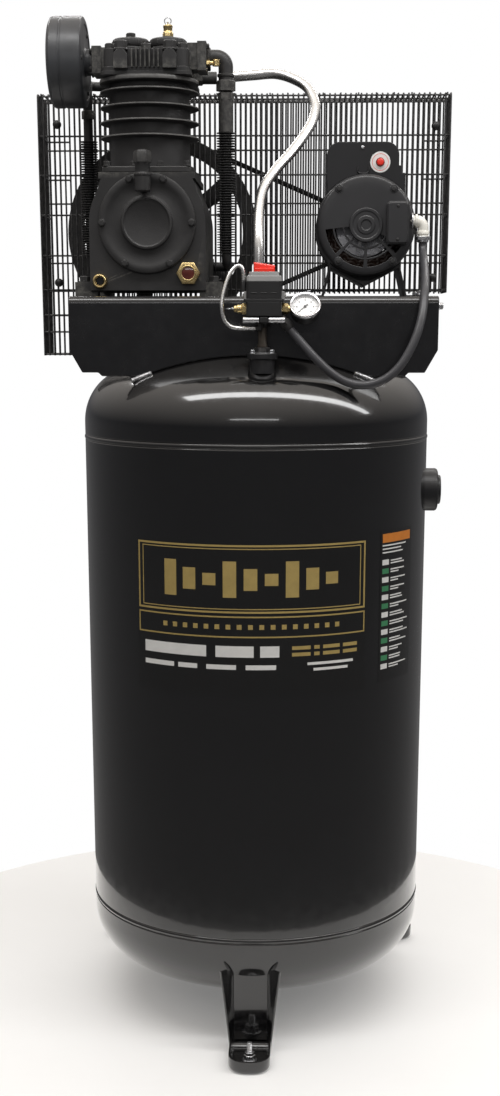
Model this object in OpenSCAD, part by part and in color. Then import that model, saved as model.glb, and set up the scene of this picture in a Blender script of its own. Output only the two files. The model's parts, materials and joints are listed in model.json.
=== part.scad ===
// Vertical tank air compressor: two-stage belt-driven pump and motor on a saddle over an upright receiver.
// Millimetres, +Z up, -Y is the front. Modules are written about the tank's axis, then moved by place().

/* [Tank] */
// Outer radius of the tank
tank_r = 305; // [250:1:360]
// Wall thickness of the tank
tank_wall = 4; // [3:0.5:8]
// Height of the lower girth weld above the floor
weld_low = 202; // [190:1:240]
// Height of the upper girth weld above the floor
weld_high = 1050; // [900:1:1060]
// Straight flange of each head
head_flange = 26; // [15:1:40]
// Rise of each dished head past its straight flange
head_rise = 146; // [120:1:160]
// Knuckle radius of each head
head_knuckle = 95; // [70:1:110]
// How far the girth welds stand proud
bead_proud = 3; // [2:0.5:5]
// Height of the side outlet
outlet_z = 953; // [600:1:980]
// Outer diameter of the side outlet bung
outlet_d = 76; // [60:1:90]
// Tapped bore of the outlet reducing bush (3/4 NPT tap drill)
outlet_bore = 23.5; // [18:0.5:30]

/* [Feet] */
// Distance of a foot's front lip from the tank axis
foot_reach = 400; // [380:1:430]
// Width of a foot pad
foot_w = 72; // [66:1:90]
// Width of a foot at its top
foot_top_w = 106; // [90:1:120]
// Height of the flange round a foot
foot_lip = 25; // [15:1:35]
// Sheet thickness of a foot
foot_t = 4; // [3:0.5:6]
// Distance of a foot's bolt hole from the tank axis
foot_hole_r = 350; // [340:1:360]
// Diameter of a foot's bolt hole
foot_hole_d = 14; // [10:0.5:18]

/* [Platform] */
// Width of the platform
deck_w = 612; // [560:1:640]
// Height of the top of the deck above the floor
deck_z = 1288; // [1280:1:1300]
// Front face of the platform
deck_front = -185; // [-200:1:-170]
// Rear face of the platform
deck_rear = 100; // [90:1:104]
// Height of the front and rear aprons
apron_h = 124; // [110:1:130]
// Sheet thickness of the platform
deck_t = 5; // [4:0.5:8]
// Outer bend radius of the platform
deck_bend = 12; // [8:1:16]

/* [Pump] */
// Sideways place of the pump
pump_x = -177; // [-190:1:-170]
// Height of the crank and motor axes
crank_z = 1406; // [1400:1:1420]
// Width of the crankcase
case_w = 194; // [180:1:200]
// Radius of the round crankcase cover
cover_r = 81; // [76:1:84]
// Bore of the low-pressure cylinder
bore_low = 100; // [90:1:104]
// Bore of the high-pressure cylinder
bore_high = 56; // [50:1:60]
// Diameter of the air filter drum
filter_d = 146; // [130:1:165]
// Outer diameter of the flywheel
flywheel_d = 348; // [330:1:352]
// Throw of the crank
crank_throw = 30; // [25:1:32]

/* [Motor] */
// Sideways place of the motor
motor_x = 188; // [180:1:196]
// Outer diameter of the motor shell
motor_d = 168; // [160:1:170]
// Outer diameter of the motor pulley
pulley_d = 64; // [60:1:70]

/* [Controls] */
// Sideways place of the pressure switch
switch_x = 20; // [15:1:25]
// Distance of the pressure switch in front of the tank axis
switch_y = -235; // [-238:1:-232]
// Diameter of the pressure gauge
gauge_d = 52; // [45:1:58]
// How far the gauge dial leans back
gauge_tilt = 38; // [20:1:50]

/* [Guard] */
// Left side of the belt guard
guard_left = -398; // [-410:1:-390]
// Right side of the belt guard
guard_right = 345; // [340:1:350]
// Top of the belt guard
guard_top = 1646; // [1630:1:1660]
// Bottom of the guard behind the flywheel
guard_low = 1187; // [1180:1:1200]
// Bottom of the guard behind the motor
guard_deck = 1300; // [1295:1:1310]
// Spacing of the guard bars
guard_pitch = 28.2; // [20:0.1:40]

/* [Hidden] */
$fn = 64;
eps = 0.01;
gap = 0.3;            // between curved faces of different bodies
fit = 0.03;           // radial running fit
foot_corner = 30;     // corner radius of a foot pad
web_r = 296;          // outer face of a foot's web
foot_top = 152;       // top of a foot before it is cut to the head
foot_angles = [270, 40, 140];
tangent_low = weld_low - head_flange;
tangent_high = weld_high + head_flange;
apex_low = tangent_low - head_rise;
crown_r = crown_radius(tank_r, head_rise, head_knuckle);
crown_z = tangent_high + head_rise - crown_r;
origin_x = (guard_left + guard_right) / 2;
origin_y = (tank_r + bead_proud - foot_reach) / 2;

// Pump levels
case_floor = 1298;
case_front = -140;
case_rear = 80;
case_wall = 10;
case_top = 1487;
block_top = 1639;
plate_top = 1645;
head_top = 1697;
cap_top = 1711;
low_y = -68;          // low-pressure cylinder and crank pin
high_y = 44;          // high-pressure cylinder and crank pin
fin_z = [1544, 1568, 1592, 1616.5];
rod_length = 170;
pin_r = 12;           // crank pins
journal_r = 15;       // crankshaft journals
port_z = 1675;
filter_left = pump_x - 171;
filter_right = pump_x - 111;
pump_mid_y = -25;
cap_x = pump_x - 3;
cap_spread = 31.5;
intake_x = pump_x - 98;
outlet_x = pump_x + 97;
belt_y = 160;
belt_w = 12;
belt_t = 8;
belt_out = 2;         // the belt's back lies this far inside the flywheel's rim
flywheel_belt_r = flywheel_d / 2 - belt_out - belt_t;
pulley_belt_r = pulley_d / 2 - belt_out - belt_t;
bearing_w = 14;

// Motor levels
motor_r = motor_d / 2;
motor_front = -60;
motor_rear = 90;
shaft_r = 11;
cradle_low = 1309;

// Controls
box_w = 57;
box_d = 53;
manifold_low = 1255.5;
manifold_top = 1277;
switch_top = 1318;
lever_z = 1324;
port_row = 1266.7;
gauge_at = [86, -236, 1272];
relief_x = switch_x - box_w / 2;

// Guard
guard_front_y = 122;
guard_rear_y = 215;
guard_bar = 3;
guard_steps = [-215, 20];   // the guard's lower edge steps up at these two places
guard_mid = 1224;     // its lower edge between them

gloss_black = [0.05, 0.05, 0.06];
satin_black = [0.12, 0.12, 0.13];
cast_black = [0.18, 0.18, 0.19];
steel = [0.75, 0.76, 0.78];
brass = [0.80, 0.62, 0.25];
dark_grey = [0.30, 0.30, 0.32];

// Routes of the tubes and the conduit, along their middles
discharge_route = [[-62, 40, 1659], [-39, 39, 1661], [-5, 36, 1663], [31, 30, 1664], [61, 20, 1655],
                   [87, 5, 1638], [100, -15, 1611], [100, -28, 1593], [94, -42, 1573], [79, -60, 1548],
                   [60, -80, 1522], [40, -100, 1499], [21, -125, 1472], [13, -142, 1452], [10, -158, 1432],
                   [9, -176, 1408], [9.5, -190, 1385], [10, -197, 1361], [10, -198, 1320], [10, -198, 1292]];
unloader_route = [[6, -247, 1236], [-4, -247, 1236], [-18, -248, 1236], [-34, -250, 1239],
                  [-44.5, -252, 1251], [-48, -252, 1272], [-44, -248, 1296], [-36, -242, 1320],
                  [-28, -237, 1331], [-21, -235, 1334], [-15.5, -235, 1330], [-13.5, -235, 1320],
                  [-13.5, -235, 1311]];
conduit_route = [[285, -70, 1383], [285, -72, 1366], [286, -96, 1345], [285, -135, 1327], [283, -172, 1310],
                 [280, -203, 1289], [276, -223, 1260], [268, -236, 1230], [255, -243, 1200], [237, -246, 1173],
                 [213, -245, 1154], [184, -242, 1146], [154, -243, 1151], [127, -245, 1167], [101, -245, 1191],
                 [78, -240, 1216], [60, -234, 1237]];

// ---- Helpers ----

// Moves the tank's axis so that the origin is under the middle of the whole machine.
module place() translate([-origin_x, -origin_y, 0]) children();

// A cylinder along Y from y0 to y1.
module rod_y(x, z, y0, y1, r, sides = 64)
    translate([x, y1, z]) rotate([90, 0, 0]) cylinder(r = r, h = y1 - y0, $fn = sides);

// A cylinder along X from x0 to x1.
module rod_x(y, z, x0, x1, r, sides = 64)
    translate([x0, y, z]) rotate([0, 90, 0]) cylinder(r = r, h = x1 - x0, $fn = sides);

// An upright cylinder from z0 to z1.
module rod_z(x, y, z0, z1, r, sides = 64)
    translate([x, y, z0]) cylinder(r = r, h = z1 - z0, $fn = sides);

module block(x0, x1, y0, y1, z0, z1) translate([x0, y0, z0]) cube([x1 - x0, y1 - y0, z1 - z0]);

// An outline in X and Z, extruded along Y from y0 to y1.
module slab_y(y0, y1) translate([0, y1, 0]) rotate([90, 0, 0]) linear_extrude(y1 - y0) children();

// A rectangle with round corners, about its middle.
module round_rect(w, h, r) {
    square([w - 2 * r, h], center = true);
    square([w, h - 2 * r], center = true);
    for (x = [-1, 1], y = [-1, 1]) translate([x * (w / 2 - r), y * (h / 2 - r)]) circle(r);
}

// Radius of the crown of a dished head of radius r, rise h and knuckle radius k.
function crown_radius(r, h, k) = ((r - k) * (r - k) + h * h - k * k) / (2 * (h - k));

// Half the section of a dished head.
module dome_section(r, h, k) {
    crown = crown_radius(r, h, k);
    lean = atan2(crown - h, r - k);
    meet = [r - k + k * cos(lean), k * sin(lean)];
    intersection() {
        square([r, h]);
        union() {
            translate([r - k, 0]) circle(k);
            intersection() {
                translate([0, h - crown]) circle(crown);
                polygon([[0, h - crown], meet, [meet[0], h + 1], [0, h + 1]]);
            }
        }
    }
}

// A head as sheet metal, with its straight flange below z = 0.
module head_sheet() rotate_extrude() {
    difference() {
        dome_section(tank_r, head_rise, head_knuckle);
        dome_section(tank_r - tank_wall, head_rise - tank_wall, head_knuckle - tank_wall);
    }
    translate([tank_r - tank_wall, -head_flange]) square([tank_wall, head_flange]);
}

// The outside of a head as a filled shape, for cutting other parts to it.
module head_volume() rotate_extrude() dome_section(tank_r, head_rise, head_knuckle);
module top_volume() translate([0, 0, tangent_high]) head_volume();
module bottom_volume() translate([0, 0, tangent_low]) mirror([0, 0, 1]) head_volume();

function unit(v) = v / norm(v);
function curve_at(a, b, c, d, t) =
    0.5 * (2 * b + (c - a) * t + (2 * a - 5 * b + 4 * c - d) * t * t + (3 * b - a - 3 * c + d) * t * t * t);
function smooth(p, steps) = let (n = len(p)) concat(
    [for (i = [0:n - 2], k = [0:steps - 1])
        curve_at(p[max(i - 1, 0)], p[i], p[i + 1], p[min(i + 2, n - 1)], k / steps)], [p[n - 1]]);
function heading(p, i) = unit(p[min(i + 1, len(p) - 1)] - p[max(i - 1, 0)]);
function square_to(v, along) = unit(v - (v * along) * along);
function side_rail(p, first) = [
    for (i = 0, u = square_to(first, heading(p, 0)); i < len(p);
         i = i + 1, u = i < len(p) ? square_to(u, heading(p, i)) : u) u];

// A round tube swept along a route of points.
module tube(route, r, sides, steps, first = [0, 1, 0]) {
    path = smooth(route, steps);
    rail = side_rail(path, first);
    n = len(path);
    points = [for (i = [0:n - 1], k = [0:sides - 1])
        let (a = 360 * k / sides, u = rail[i], v = cross(heading(path, i), u))
        path[i] + r * (cos(a) * u + sin(a) * v)];
    walls = [for (i = [0:n - 2], k = [0:sides - 1]) let (m = (k + 1) % sides)
        [i * sides + k, (i + 1) * sides + k, (i + 1) * sides + m, i * sides + m]];
    start = [[for (k = [0:sides - 1]) k]];
    finish = [[for (k = [0:sides - 1]) (n - 1) * sides + sides - 1 - k]];
    polyhedron(points, concat(walls, start, finish));
}

// A hexagon-headed bolt standing on z = 0, across-flats size, head height and washer.
module bolt_head(flats, tall) {
    cylinder(r = flats * 0.68, h = 2);
    translate([0, 0, 2 - eps]) cylinder(r = flats / sqrt(3), h = tall, $fn = 6);
}

// A tube with cooling fins: core radius, fin radius, length, along +Z.
module finned(core, fin, long, pitch, thick) rotate_extrude() polygon(concat(
    [[0, 0]],
    [for (i = [0:floor(long / pitch) - 1]) each [
        [core, i * pitch], [core, i * pitch + pitch - thick],
        [fin, i * pitch + pitch - thick], [fin, i * pitch + pitch]]],
    [[core, floor(long / pitch) * pitch], [core, long], [0, long]]));

// ---- Tank ----

module tank_shell() color(gloss_black) place() difference() {
    rotate_extrude() {
        translate([tank_r - tank_wall, weld_low]) square([tank_wall, weld_high - weld_low]);
        for (z = [weld_low, weld_high]) intersection() {
            translate([tank_r - 2, z]) circle(bead_proud + 2);
            translate([tank_r, z - 10]) square([10, 20]);
        }
    }
    rod_x(0, outlet_z, tank_r - 30, tank_r + 30, outlet_d / 2);
}

module tank_top_head() color(gloss_black) place() translate([0, 0, tangent_high]) head_sheet();

module tank_bottom_head() color(gloss_black) place()
    translate([0, 0, tangent_low]) mirror([0, 0, 1]) head_sheet();

module tank_side_bung() color(satin_black) place() difference() {
    union() {
        rod_x(0, outlet_z, tank_r - 12, tank_r + 21, outlet_d / 2);
        rod_x(0, outlet_z, tank_r + 21 - eps, tank_r + 27, outlet_d / 2 - 12);
        rod_x(0, outlet_z, tank_r + 12, tank_r + 27 + eps, outlet_d / 2 - 5, 6);
    }
    rod_x(0, outlet_z, tank_r - 20, tank_r + 40, outlet_bore / 2);
}

// A foot pad's outline from radius start outwards, pulled in by t, between two heights.
module foot_pad(t, start, z0, z1) translate([0, 0, z0]) linear_extrude(z1 - z0) {
    translate([start, t - foot_w / 2]) square([foot_reach - foot_corner - start, foot_w - 2 * t]);
    translate([start, foot_corner - foot_w / 2]) square([foot_reach - t - start, foot_w - 2 * foot_corner]);
    for (s = [-1, 1]) translate([foot_reach - foot_corner, s * (foot_w / 2 - foot_corner)])
        circle(foot_corner - t);
}

module foot_web(t, x0, x1) translate([x0, 0, 0]) rotate([90, 0, 90]) linear_extrude(x1 - x0)
    polygon([[-foot_w / 2 + t, t > 0 ? foot_t : 0], [foot_w / 2 - t, t > 0 ? foot_t : 0],
             [foot_top_w / 2 - t, foot_top + (t > 0 ? 1 : 0)], [t - foot_top_w / 2, foot_top + (t > 0 ? 1 : 0)]]);

// One pressed foot, its radius along +X.
module foot() difference() {
    union() {
        foot_pad(0, web_r - foot_t, 0, foot_lip);
        foot_web(0, web_r - foot_t, web_r + foot_lip - foot_t);
    }
    foot_pad(foot_t, web_r, foot_t, foot_lip + 1);
    foot_web(foot_t, web_r, web_r + foot_lip + 1);
    rod_z(foot_hole_r, 0, -1, foot_t + 1, foot_hole_d / 2);
    bottom_volume();
    rod_z(0, 0, tangent_low - eps, foot_top + 60, tank_r);
}

module feet() color(gloss_black) place() for (a = foot_angles) rotate(a) foot();

module drain_valve_body() color(brass) place() difference() {
    union() {
        rod_z(0, 0, 24 - eps, apex_low, 8);
        rod_z(0, 0, 16, 24, 9, 6);
    }
    rod_z(0, 0, 15, 20.5, 3 + fit);
}

module drain_valve_knob() color(brass) place() {
    rod_z(0, 0, 5, 15.5, 7);
    rod_z(0, 0, 15, 20, 3);
    block(-17, 17, -2, 2, 6, 13);
}

// ---- Platform ----

// Cross-section of the folded sheet, open below.
module deck_section() translate([(deck_front + deck_rear) / 2, deck_z]) difference() {
    translate([0, -apron_h / 2 - 20]) round_rect(deck_rear - deck_front, apron_h + 40, deck_bend);
    translate([0, -deck_t - apron_h / 2 - 30])
        round_rect(deck_rear - deck_front - 2 * deck_t, apron_h + 60, deck_bend - deck_t);
}

module deck_outline() polygon([
    [-deck_w / 2, deck_z + 1], [-deck_w / 2, deck_z - 87], [-deck_w / 2 + 21, deck_z - apron_h],
    [-deck_w / 2 + 48, deck_z - apron_h], [-deck_w / 2 + 54, deck_z - apron_h - 6],
    [deck_w / 2 - 54, deck_z - apron_h - 6], [deck_w / 2 - 48, deck_z - apron_h],
    [deck_w / 2 - 21, deck_z - apron_h], [deck_w / 2, deck_z - 87], [deck_w / 2, deck_z + 1]]);

module platform() color(satin_black) place() difference() {
    intersection() {
        rotate([90, 0, 90]) translate([0, 0, -deck_w / 2]) linear_extrude(deck_w) deck_section();
        slab_y(deck_front - 1, deck_rear + 1) deck_outline();
    }
    rod_y(0, crown_z, deck_front - 1, 0, sqrt(crown_r * crown_r - pow(deck_front + deck_t, 2)));
    rod_y(0, crown_z, 0, deck_rear + 1, sqrt(crown_r * crown_r - pow(deck_rear - deck_t, 2)));
}

// Fasteners: pump feet, motor cradle, crankcase cover, head, deck end and the front foot's anchor.
module hex_bolts() color(steel) place() {
    for (x = [-1, 1], y = [-115, 55]) translate([pump_x + x * 109, y, 1312]) bolt_head(16, 8);
    for (x = [-1, 1], y = [-40, 70]) translate([motor_x + x * 96, y, deck_z + 4]) bolt_head(9, 6);
    for (i = [0:5]) translate([pump_x + 74 * cos(60 * i), case_front - 8, crank_z + 74 * sin(60 * i)])
        rotate([90, 0, 0]) bolt_head(9, 5);
    for (x = [-60, 0, 60], y = [-118, 68]) translate([pump_x + x, y, head_top]) bolt_head(14, 8);
    translate([deck_w / 2, deck_front + 18, deck_z - 16]) rotate([0, 90, 0]) bolt_head(10, 6);
    rotate(foot_angles[0]) translate([foot_hole_r, 0, foot_t]) {
        bolt_head(16, 8);
        cylinder(r = 5, h = 33);
    }
}

// ---- Controls ----

module riser_pipe() color(dark_grey) place() difference() {
    union() {
        rod_z(switch_x - 3, switch_y + 3, 1165, 1194, 19);
        translate([switch_x - 3, switch_y + 3, 1194 - eps]) linear_extrude(6) round_rect(56, 26, 12);
        for (s = [-1, 1]) translate([switch_x - 3 + s * 20, switch_y + 3, 1200 - 2 * eps]) bolt_head(9, 5);
        rod_z(switch_x - 3, switch_y + 3, 1199, manifold_low, 7);
    }
    top_volume();
}

module control_manifold() color(satin_black) place() {
    difference() {
        translate([switch_x, switch_y, manifold_low]) linear_extrude(manifold_top - manifold_low)
            round_rect(box_w, box_d, 4);
        rod_x(switch_y, port_row, relief_x - 1, relief_x + 12, 6);
        rod_x(switch_y, port_row, relief_x + box_w - 12, relief_x + box_w + 1, 6);
    }
    rod_x(switch_y - 21.5, 1249, switch_x - 34, switch_x + 34, 4.8);
    rod_x(switch_y - 21.5, 1249, switch_x - 6, switch_x + 6, 7, 6);
    rod_z(-13.5, -235, 1293, 1311, 5, 6);
    rod_x(-235, 1297, -13.5, relief_x, 3.2);
    rod_x(-247, 1236, 6, 17, 5, 6);
    rod_z(14, -247, 1236, manifold_low, 4);
}

module pressure_switch_base() color(dark_grey) place()
    translate([switch_x, switch_y, manifold_top]) linear_extrude(5) round_rect(box_w + 8, box_d, 4);

module pressure_switch_cover() color(satin_black) place() {
    difference() {
        translate([switch_x, switch_y, manifold_top + 5]) linear_extrude(switch_top - manifold_top - 5)
            round_rect(box_w, box_d, 4);
        translate([switch_x, switch_y, manifold_top + 4]) linear_extrude(switch_top - manifold_top - 7)
            round_rect(box_w - 5, box_d - 5, 3);
    }
    difference() {
        translate([switch_x, switch_y, switch_top]) linear_extrude(lever_z - switch_top)
            round_rect(box_w - 7, box_d - 8, 4);
        rod_z(switch_x, switch_y, switch_top + 1, lever_z + 1, 5 + fit);
    }
}

module auto_off_lever() color("red") place() translate([switch_x, switch_y, 0]) {
    rod_z(0, 0, switch_top + 1.3, lever_z + 2, 5);
    translate([0, 0, lever_z + gap]) linear_extrude(6) round_rect(34, 15, 5);
    translate([0, 0, lever_z + 6]) slab_y(-4, 4) polygon([[-17, 0], [17, 0], [17, 5], [-17, 10]]);
}

// Places the gauge: its dial faces -Z here and leans back when placed.
module gauge_frame() translate(gauge_at) rotate([-gauge_tilt, 0, 0]) rotate([90, 0, 0]) children();

module gauge_case() place() {
    color(satin_black) difference() {
        gauge_frame() translate([0, 0, -20]) cylinder(r = gauge_d / 2 - 2, h = 18);
        gauge_frame() translate([0, 0, -16]) cylinder(r = gauge_d / 2 - 4, h = 20);
    }
    color(steel) gauge_frame() difference() {
        translate([0, 0, -3]) cylinder(r = gauge_d / 2, h = 6);
        translate([0, 0, -3.1]) cylinder(r = gauge_d / 2 - 4, h = 4.2);
        translate([0, 0, 1]) cylinder(r = gauge_d / 2 - 3, h = 3);
    }
    color(brass) difference() {
        rod_x(switch_y, port_row, relief_x + box_w - 10, 80, 6);
        gauge_frame() translate([0, 0, -20]) cylinder(r = gauge_d / 2 - 2, h = 30);
    }
}

module gauge_dial() color("white") place() gauge_frame() difference() {
    translate([0, 0, -4.5]) cylinder(r = gauge_d / 2 - 4, h = 1.2);
    translate([0, 0, -5]) cylinder(r = 1.2 + fit, h = 3);
}

module gauge_needle() color("black") place() gauge_frame() {
    translate([0, 0, -6]) cylinder(r = 1.2, h = 4);
    translate([0, 0, -2.8]) cylinder(r = 2.4, h = 1);
    rotate(225) translate([-5, -0.6, -2.8]) cube([22, 1.2, 0.8]);
}

module gauge_lens() color([0.8, 0.9, 0.95, 0.4]) place() gauge_frame()
    translate([0, 0, 1.1]) cylinder(r = gauge_d / 2 - 3, h = 1.4);

module relief_valve_body() color(brass) place() difference() {
    union() {
        rod_x(switch_y, port_row, relief_x - 6, relief_x + 10, 6);
        rod_x(switch_y, port_row, relief_x - 16, relief_x - 6 + eps, 8, 6);
        rod_x(switch_y, port_row, relief_x - 21, relief_x - 16 + eps, 5.5);
    }
    rod_x(switch_y, port_row, relief_x - 22, relief_x - 8, 1.8 + fit);
}

module relief_valve_ring() color(steel) place() {
    rod_x(switch_y, port_row, relief_x - 23.5, relief_x - 12, 1.8);
    translate([relief_x - 28.2, switch_y, port_row]) rotate(180) rotate_extrude() translate([5, 0]) circle(1);
}

module unloader_tube() color("silver") place() tube(unloader_route, 3.2, 8, 4);

module discharge_tube() color("silver") place() tube(discharge_route, 8.7, 10, 4);

module check_valve() color(brass) place() difference() {
    union() {
        rod_z(10, -198, 1262, 1286, 10.3, 6);
        rod_z(10, -198, 1286 - eps, 1304, 10.3);
        rod_z(10, -198, 1256, 1262 + eps, 8);
        rod_y(10, 1270, switch_y + box_d / 2, -198, 6);
    }
    rod_z(10, -198, 1292, 1305, 9);
}

module conduit() color([0.25, 0.25, 0.26]) place() tube(conduit_route, 7, 10, 4);

module conduit_connectors() color([0.85, 0.83, 0.76]) place() {
    difference() {
        union() {
            rod_x(-70, 1413, motor_x + motor_r - 4, 285, 9);
            translate([285, -70, 1413]) rotate([0, -45, 0]) sphere(10.6);
            rod_z(285, -70, 1383, 1413, 10);
        }
        rod_y(motor_x, crank_z, -90, 0, motor_r);
    }
    difference() {
        translate([60, -234, 1237]) rotate([0, -40, 0]) cylinder(r = 10, h = 26);
        block(switch_x - box_w, switch_x + box_w / 2 + 20, -280, -200, manifold_low, 1300);
    }
}

// ---- Pump ----

// The crankcase seen from the front, pulled in by t: round sides, a square base and a neck.
module case_outline(t) {
    neck = case_top - crank_z - 10;
    intersection() {
        circle(case_w / 2 - t);
        translate([-case_w / 2, -1]) square([case_w, neck + 1]);
    }
    translate([t - case_w / 2, case_floor - crank_z + t]) square([case_w - 2 * t, crank_z - case_floor - t]);
    polygon([[t - 95, 14], [95 - t, 14], [76 - t, neck], [t - 76, neck]]);
}

module crankcase() color(cast_black) place() difference() {
    union() {
        translate([pump_x, 0, crank_z]) slab_y(case_front, case_rear) case_outline(0);
        block(pump_x - 80, pump_x + 80, case_front, case_rear + 8, case_top - 10 - eps, case_top);
        rod_y(pump_x, crank_z, case_rear - eps, case_rear + 12, 48);
        for (x = [-1, 1], y = [-115, 55]) translate([pump_x + x * 105, y, 1300])
            cube([38, 32, 24], center = true);
    }
    translate([pump_x, 0, crank_z]) slab_y(case_front + case_wall, case_rear - case_wall) case_outline(case_wall);
    rod_y(pump_x, crank_z, case_front - 1, case_front + case_wall + 1, 66);
    rod_y(pump_x, crank_z, case_rear - 1, case_rear + 13, 31);
    rod_y(pump_x, crank_z, case_rear - case_wall - 1, case_rear, 31);
    rod_z(pump_x, low_y, case_top - 30, case_top + 1, bore_low / 2 + 4);
    rod_z(pump_x, high_y, case_top - 30, case_top + 1, bore_high / 2 + 4);
    for (s = [[-80, 1313, 6], [68, 1325.5, 12]])
        rod_y(pump_x + s[0], s[1], case_front - 1, case_front + case_wall + 1, s[2]);
}

module crankcase_cover() color(cast_black) place() difference() {
    union() {
        rod_y(pump_x, crank_z, case_front - 8, case_front, cover_r);
        rod_y(pump_x, crank_z, case_front - 12, case_front + 6, 38);
    }
    rod_y(pump_x, crank_z, case_front - 7, case_front + 7, 31);
    rod_y(pump_x - 4, crank_z + 56, case_front - 9, case_front + 1, 6);
}

module oil_filler_cap() color(cast_black) place() {
    rod_y(pump_x - 4, crank_z + 56, case_front - 26, case_front - 1, 6);
    rod_z(pump_x - 4, case_front - 26, crank_z + 48, crank_z + 78, 13);
    rod_z(pump_x - 4, case_front - 26, crank_z + 78 - eps, crank_z + 92, 9);
    rod_z(pump_x - 4, case_front - 26, crank_z + 92 - eps, crank_z + 112, 15, 6);
}

module oil_drain_plug() color(brass) place() {
    rod_y(pump_x - 80, 1313, case_front - 5, case_front + 4, 6);
    difference() {
        rod_y(pump_x - 80, 1313, case_front - 12, case_front, 12);
        rod_y(pump_x - 80, 1313, case_front - 13, case_front - 5, 7, 6);
    }
}

module sight_glass_bezel() color(brass) place() difference() {
    union() {
        rod_y(pump_x + 68, 1325.5, case_front - 12, case_front, 20, 6);
        rod_y(pump_x + 68, 1325.5, case_front - 1, case_front + 8, 12);
    }
    rod_y(pump_x + 68, 1325.5, case_front - 13, case_front + 9, 9);
}

module sight_glass_lens() color([0.35, 0.08, 0.06]) place()
    rod_y(pump_x + 68, 1325.5, case_front - 9, case_front - 5, 9);

module barrel(y, r, fin_r) {
    rod_z(pump_x, y, case_top, block_top, r);
    for (z = fin_z) rod_z(pump_x, y, z, z + 4, fin_r);
}

module cylinder_block() color(cast_black) place() difference() {
    union() {
        barrel(low_y, 67, 82.5);
        barrel(high_y, 40, 52);
        block(pump_x - 76, pump_x + 76, -136, 84, case_top, case_top + 10);
        block(pump_x - 76, pump_x + 76, -138, 88, block_top - 9, block_top);
        rod_z(pump_x, low_y, block_top - 9, block_top, 82.5);
    }
    rod_z(pump_x, low_y, case_top - 1, block_top + 1, bore_low / 2);
    rod_z(pump_x, high_y, case_top - 1, block_top + 1, bore_high / 2);
}

module head_outline(w, d) translate([pump_x, pump_mid_y]) round_rect(w, d, 14);

module valve_plate() color(steel) place() translate([0, 0, block_top]) linear_extrude(plate_top - block_top)
    difference() {
        head_outline(150, 222);
        for (y = [low_y, high_y], x = [-14, 14]) translate([pump_x + x, y]) circle(8);
    }

module cylinder_head() color(cast_black) place() difference() {
    union() {
        translate([0, 0, plate_top]) linear_extrude(head_top - plate_top) head_outline(142, 216);
        block(intake_x + 15, pump_x - 60, pump_mid_y - 26, pump_mid_y + 26, plate_top + 12, head_top - 2);
        block(intake_x, intake_x + 16, pump_mid_y - 30, pump_mid_y + 30, plate_top + 8, head_top);
        block(pump_x + 60, outlet_x - 14, low_y - 22, low_y + 22, plate_top + 8, head_top - 2);
        block(outlet_x - 15, outlet_x, low_y - 26, low_y + 26, plate_top + 6, head_top);
        for (x = [-1, 1]) translate([pump_x + x * 40, -132, 0]) rod_z(0, 0, plate_top, head_top - 4, 12);
        for (i = [-4:4]) block(pump_x + 6 * i - 1, pump_x + 6 * i + 1, -141, -130, plate_top, head_top - 8);
    }
    rod_x(pump_mid_y, port_z, intake_x - 1, pump_x - 40, 17);
    rod_x(low_y, port_z, pump_x + 40, outlet_x + 1, 11);
    rod_x(40, 1659, pump_x + 40, pump_x + 80, 9);
    rod_y(pump_x - 52, 1655, 60, 90, 7);
    for (x = [-1, 1]) rod_z(cap_x + x * cap_spread, pump_mid_y, head_top - 10, head_top + 1, 26);
}

module valve_caps() color(cast_black) place() for (x = [-1, 1])
    difference() {
        union() {
            rod_z(cap_x + x * cap_spread, pump_mid_y, head_top, cap_top, 31);
            rod_z(cap_x + x * cap_spread, pump_mid_y, head_top - 10, head_top + eps, 26);
            if (x < 0) translate([cap_x - cap_spread, pump_mid_y, cap_top - eps]) bolt_head(14, 8);
        }
        if (x > 0) rod_z(cap_x + cap_spread, pump_mid_y, cap_top - 8, cap_top + 1, 6);
    }

module air_filter_housing() color(cast_black) place() {
    difference() {
        rod_x(pump_mid_y, port_z, filter_left, filter_right, filter_d / 2);
        rod_x(pump_mid_y, port_z, filter_left + 2, filter_right - 2, filter_d / 2 - 2);
        rod_x(pump_mid_y, port_z, filter_right - 3, filter_right + 1, 17);
    }
    difference() {
        rod_x(pump_mid_y, port_z, filter_right - eps, intake_x, 21);
        rod_x(pump_mid_y, port_z, filter_right - 1, intake_x + 1, 17);
    }
    rod_x(pump_mid_y, port_z, filter_left - 4, filter_left + 2 + eps, 9, 6);
}

module air_filter_element() color([0.75, 0.70, 0.55]) place() difference() {
    rod_x(pump_mid_y, port_z, filter_left + 3, filter_right - 3, filter_d / 2 - 12);
    rod_x(pump_mid_y, port_z, filter_left + 2, filter_right - 2, filter_d / 2 - 32);
}

// A forged corner where two tubes of radius r meet.
module leg_bend(p, r, lean) translate(p) rotate(lean) sphere(r + 1);

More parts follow.
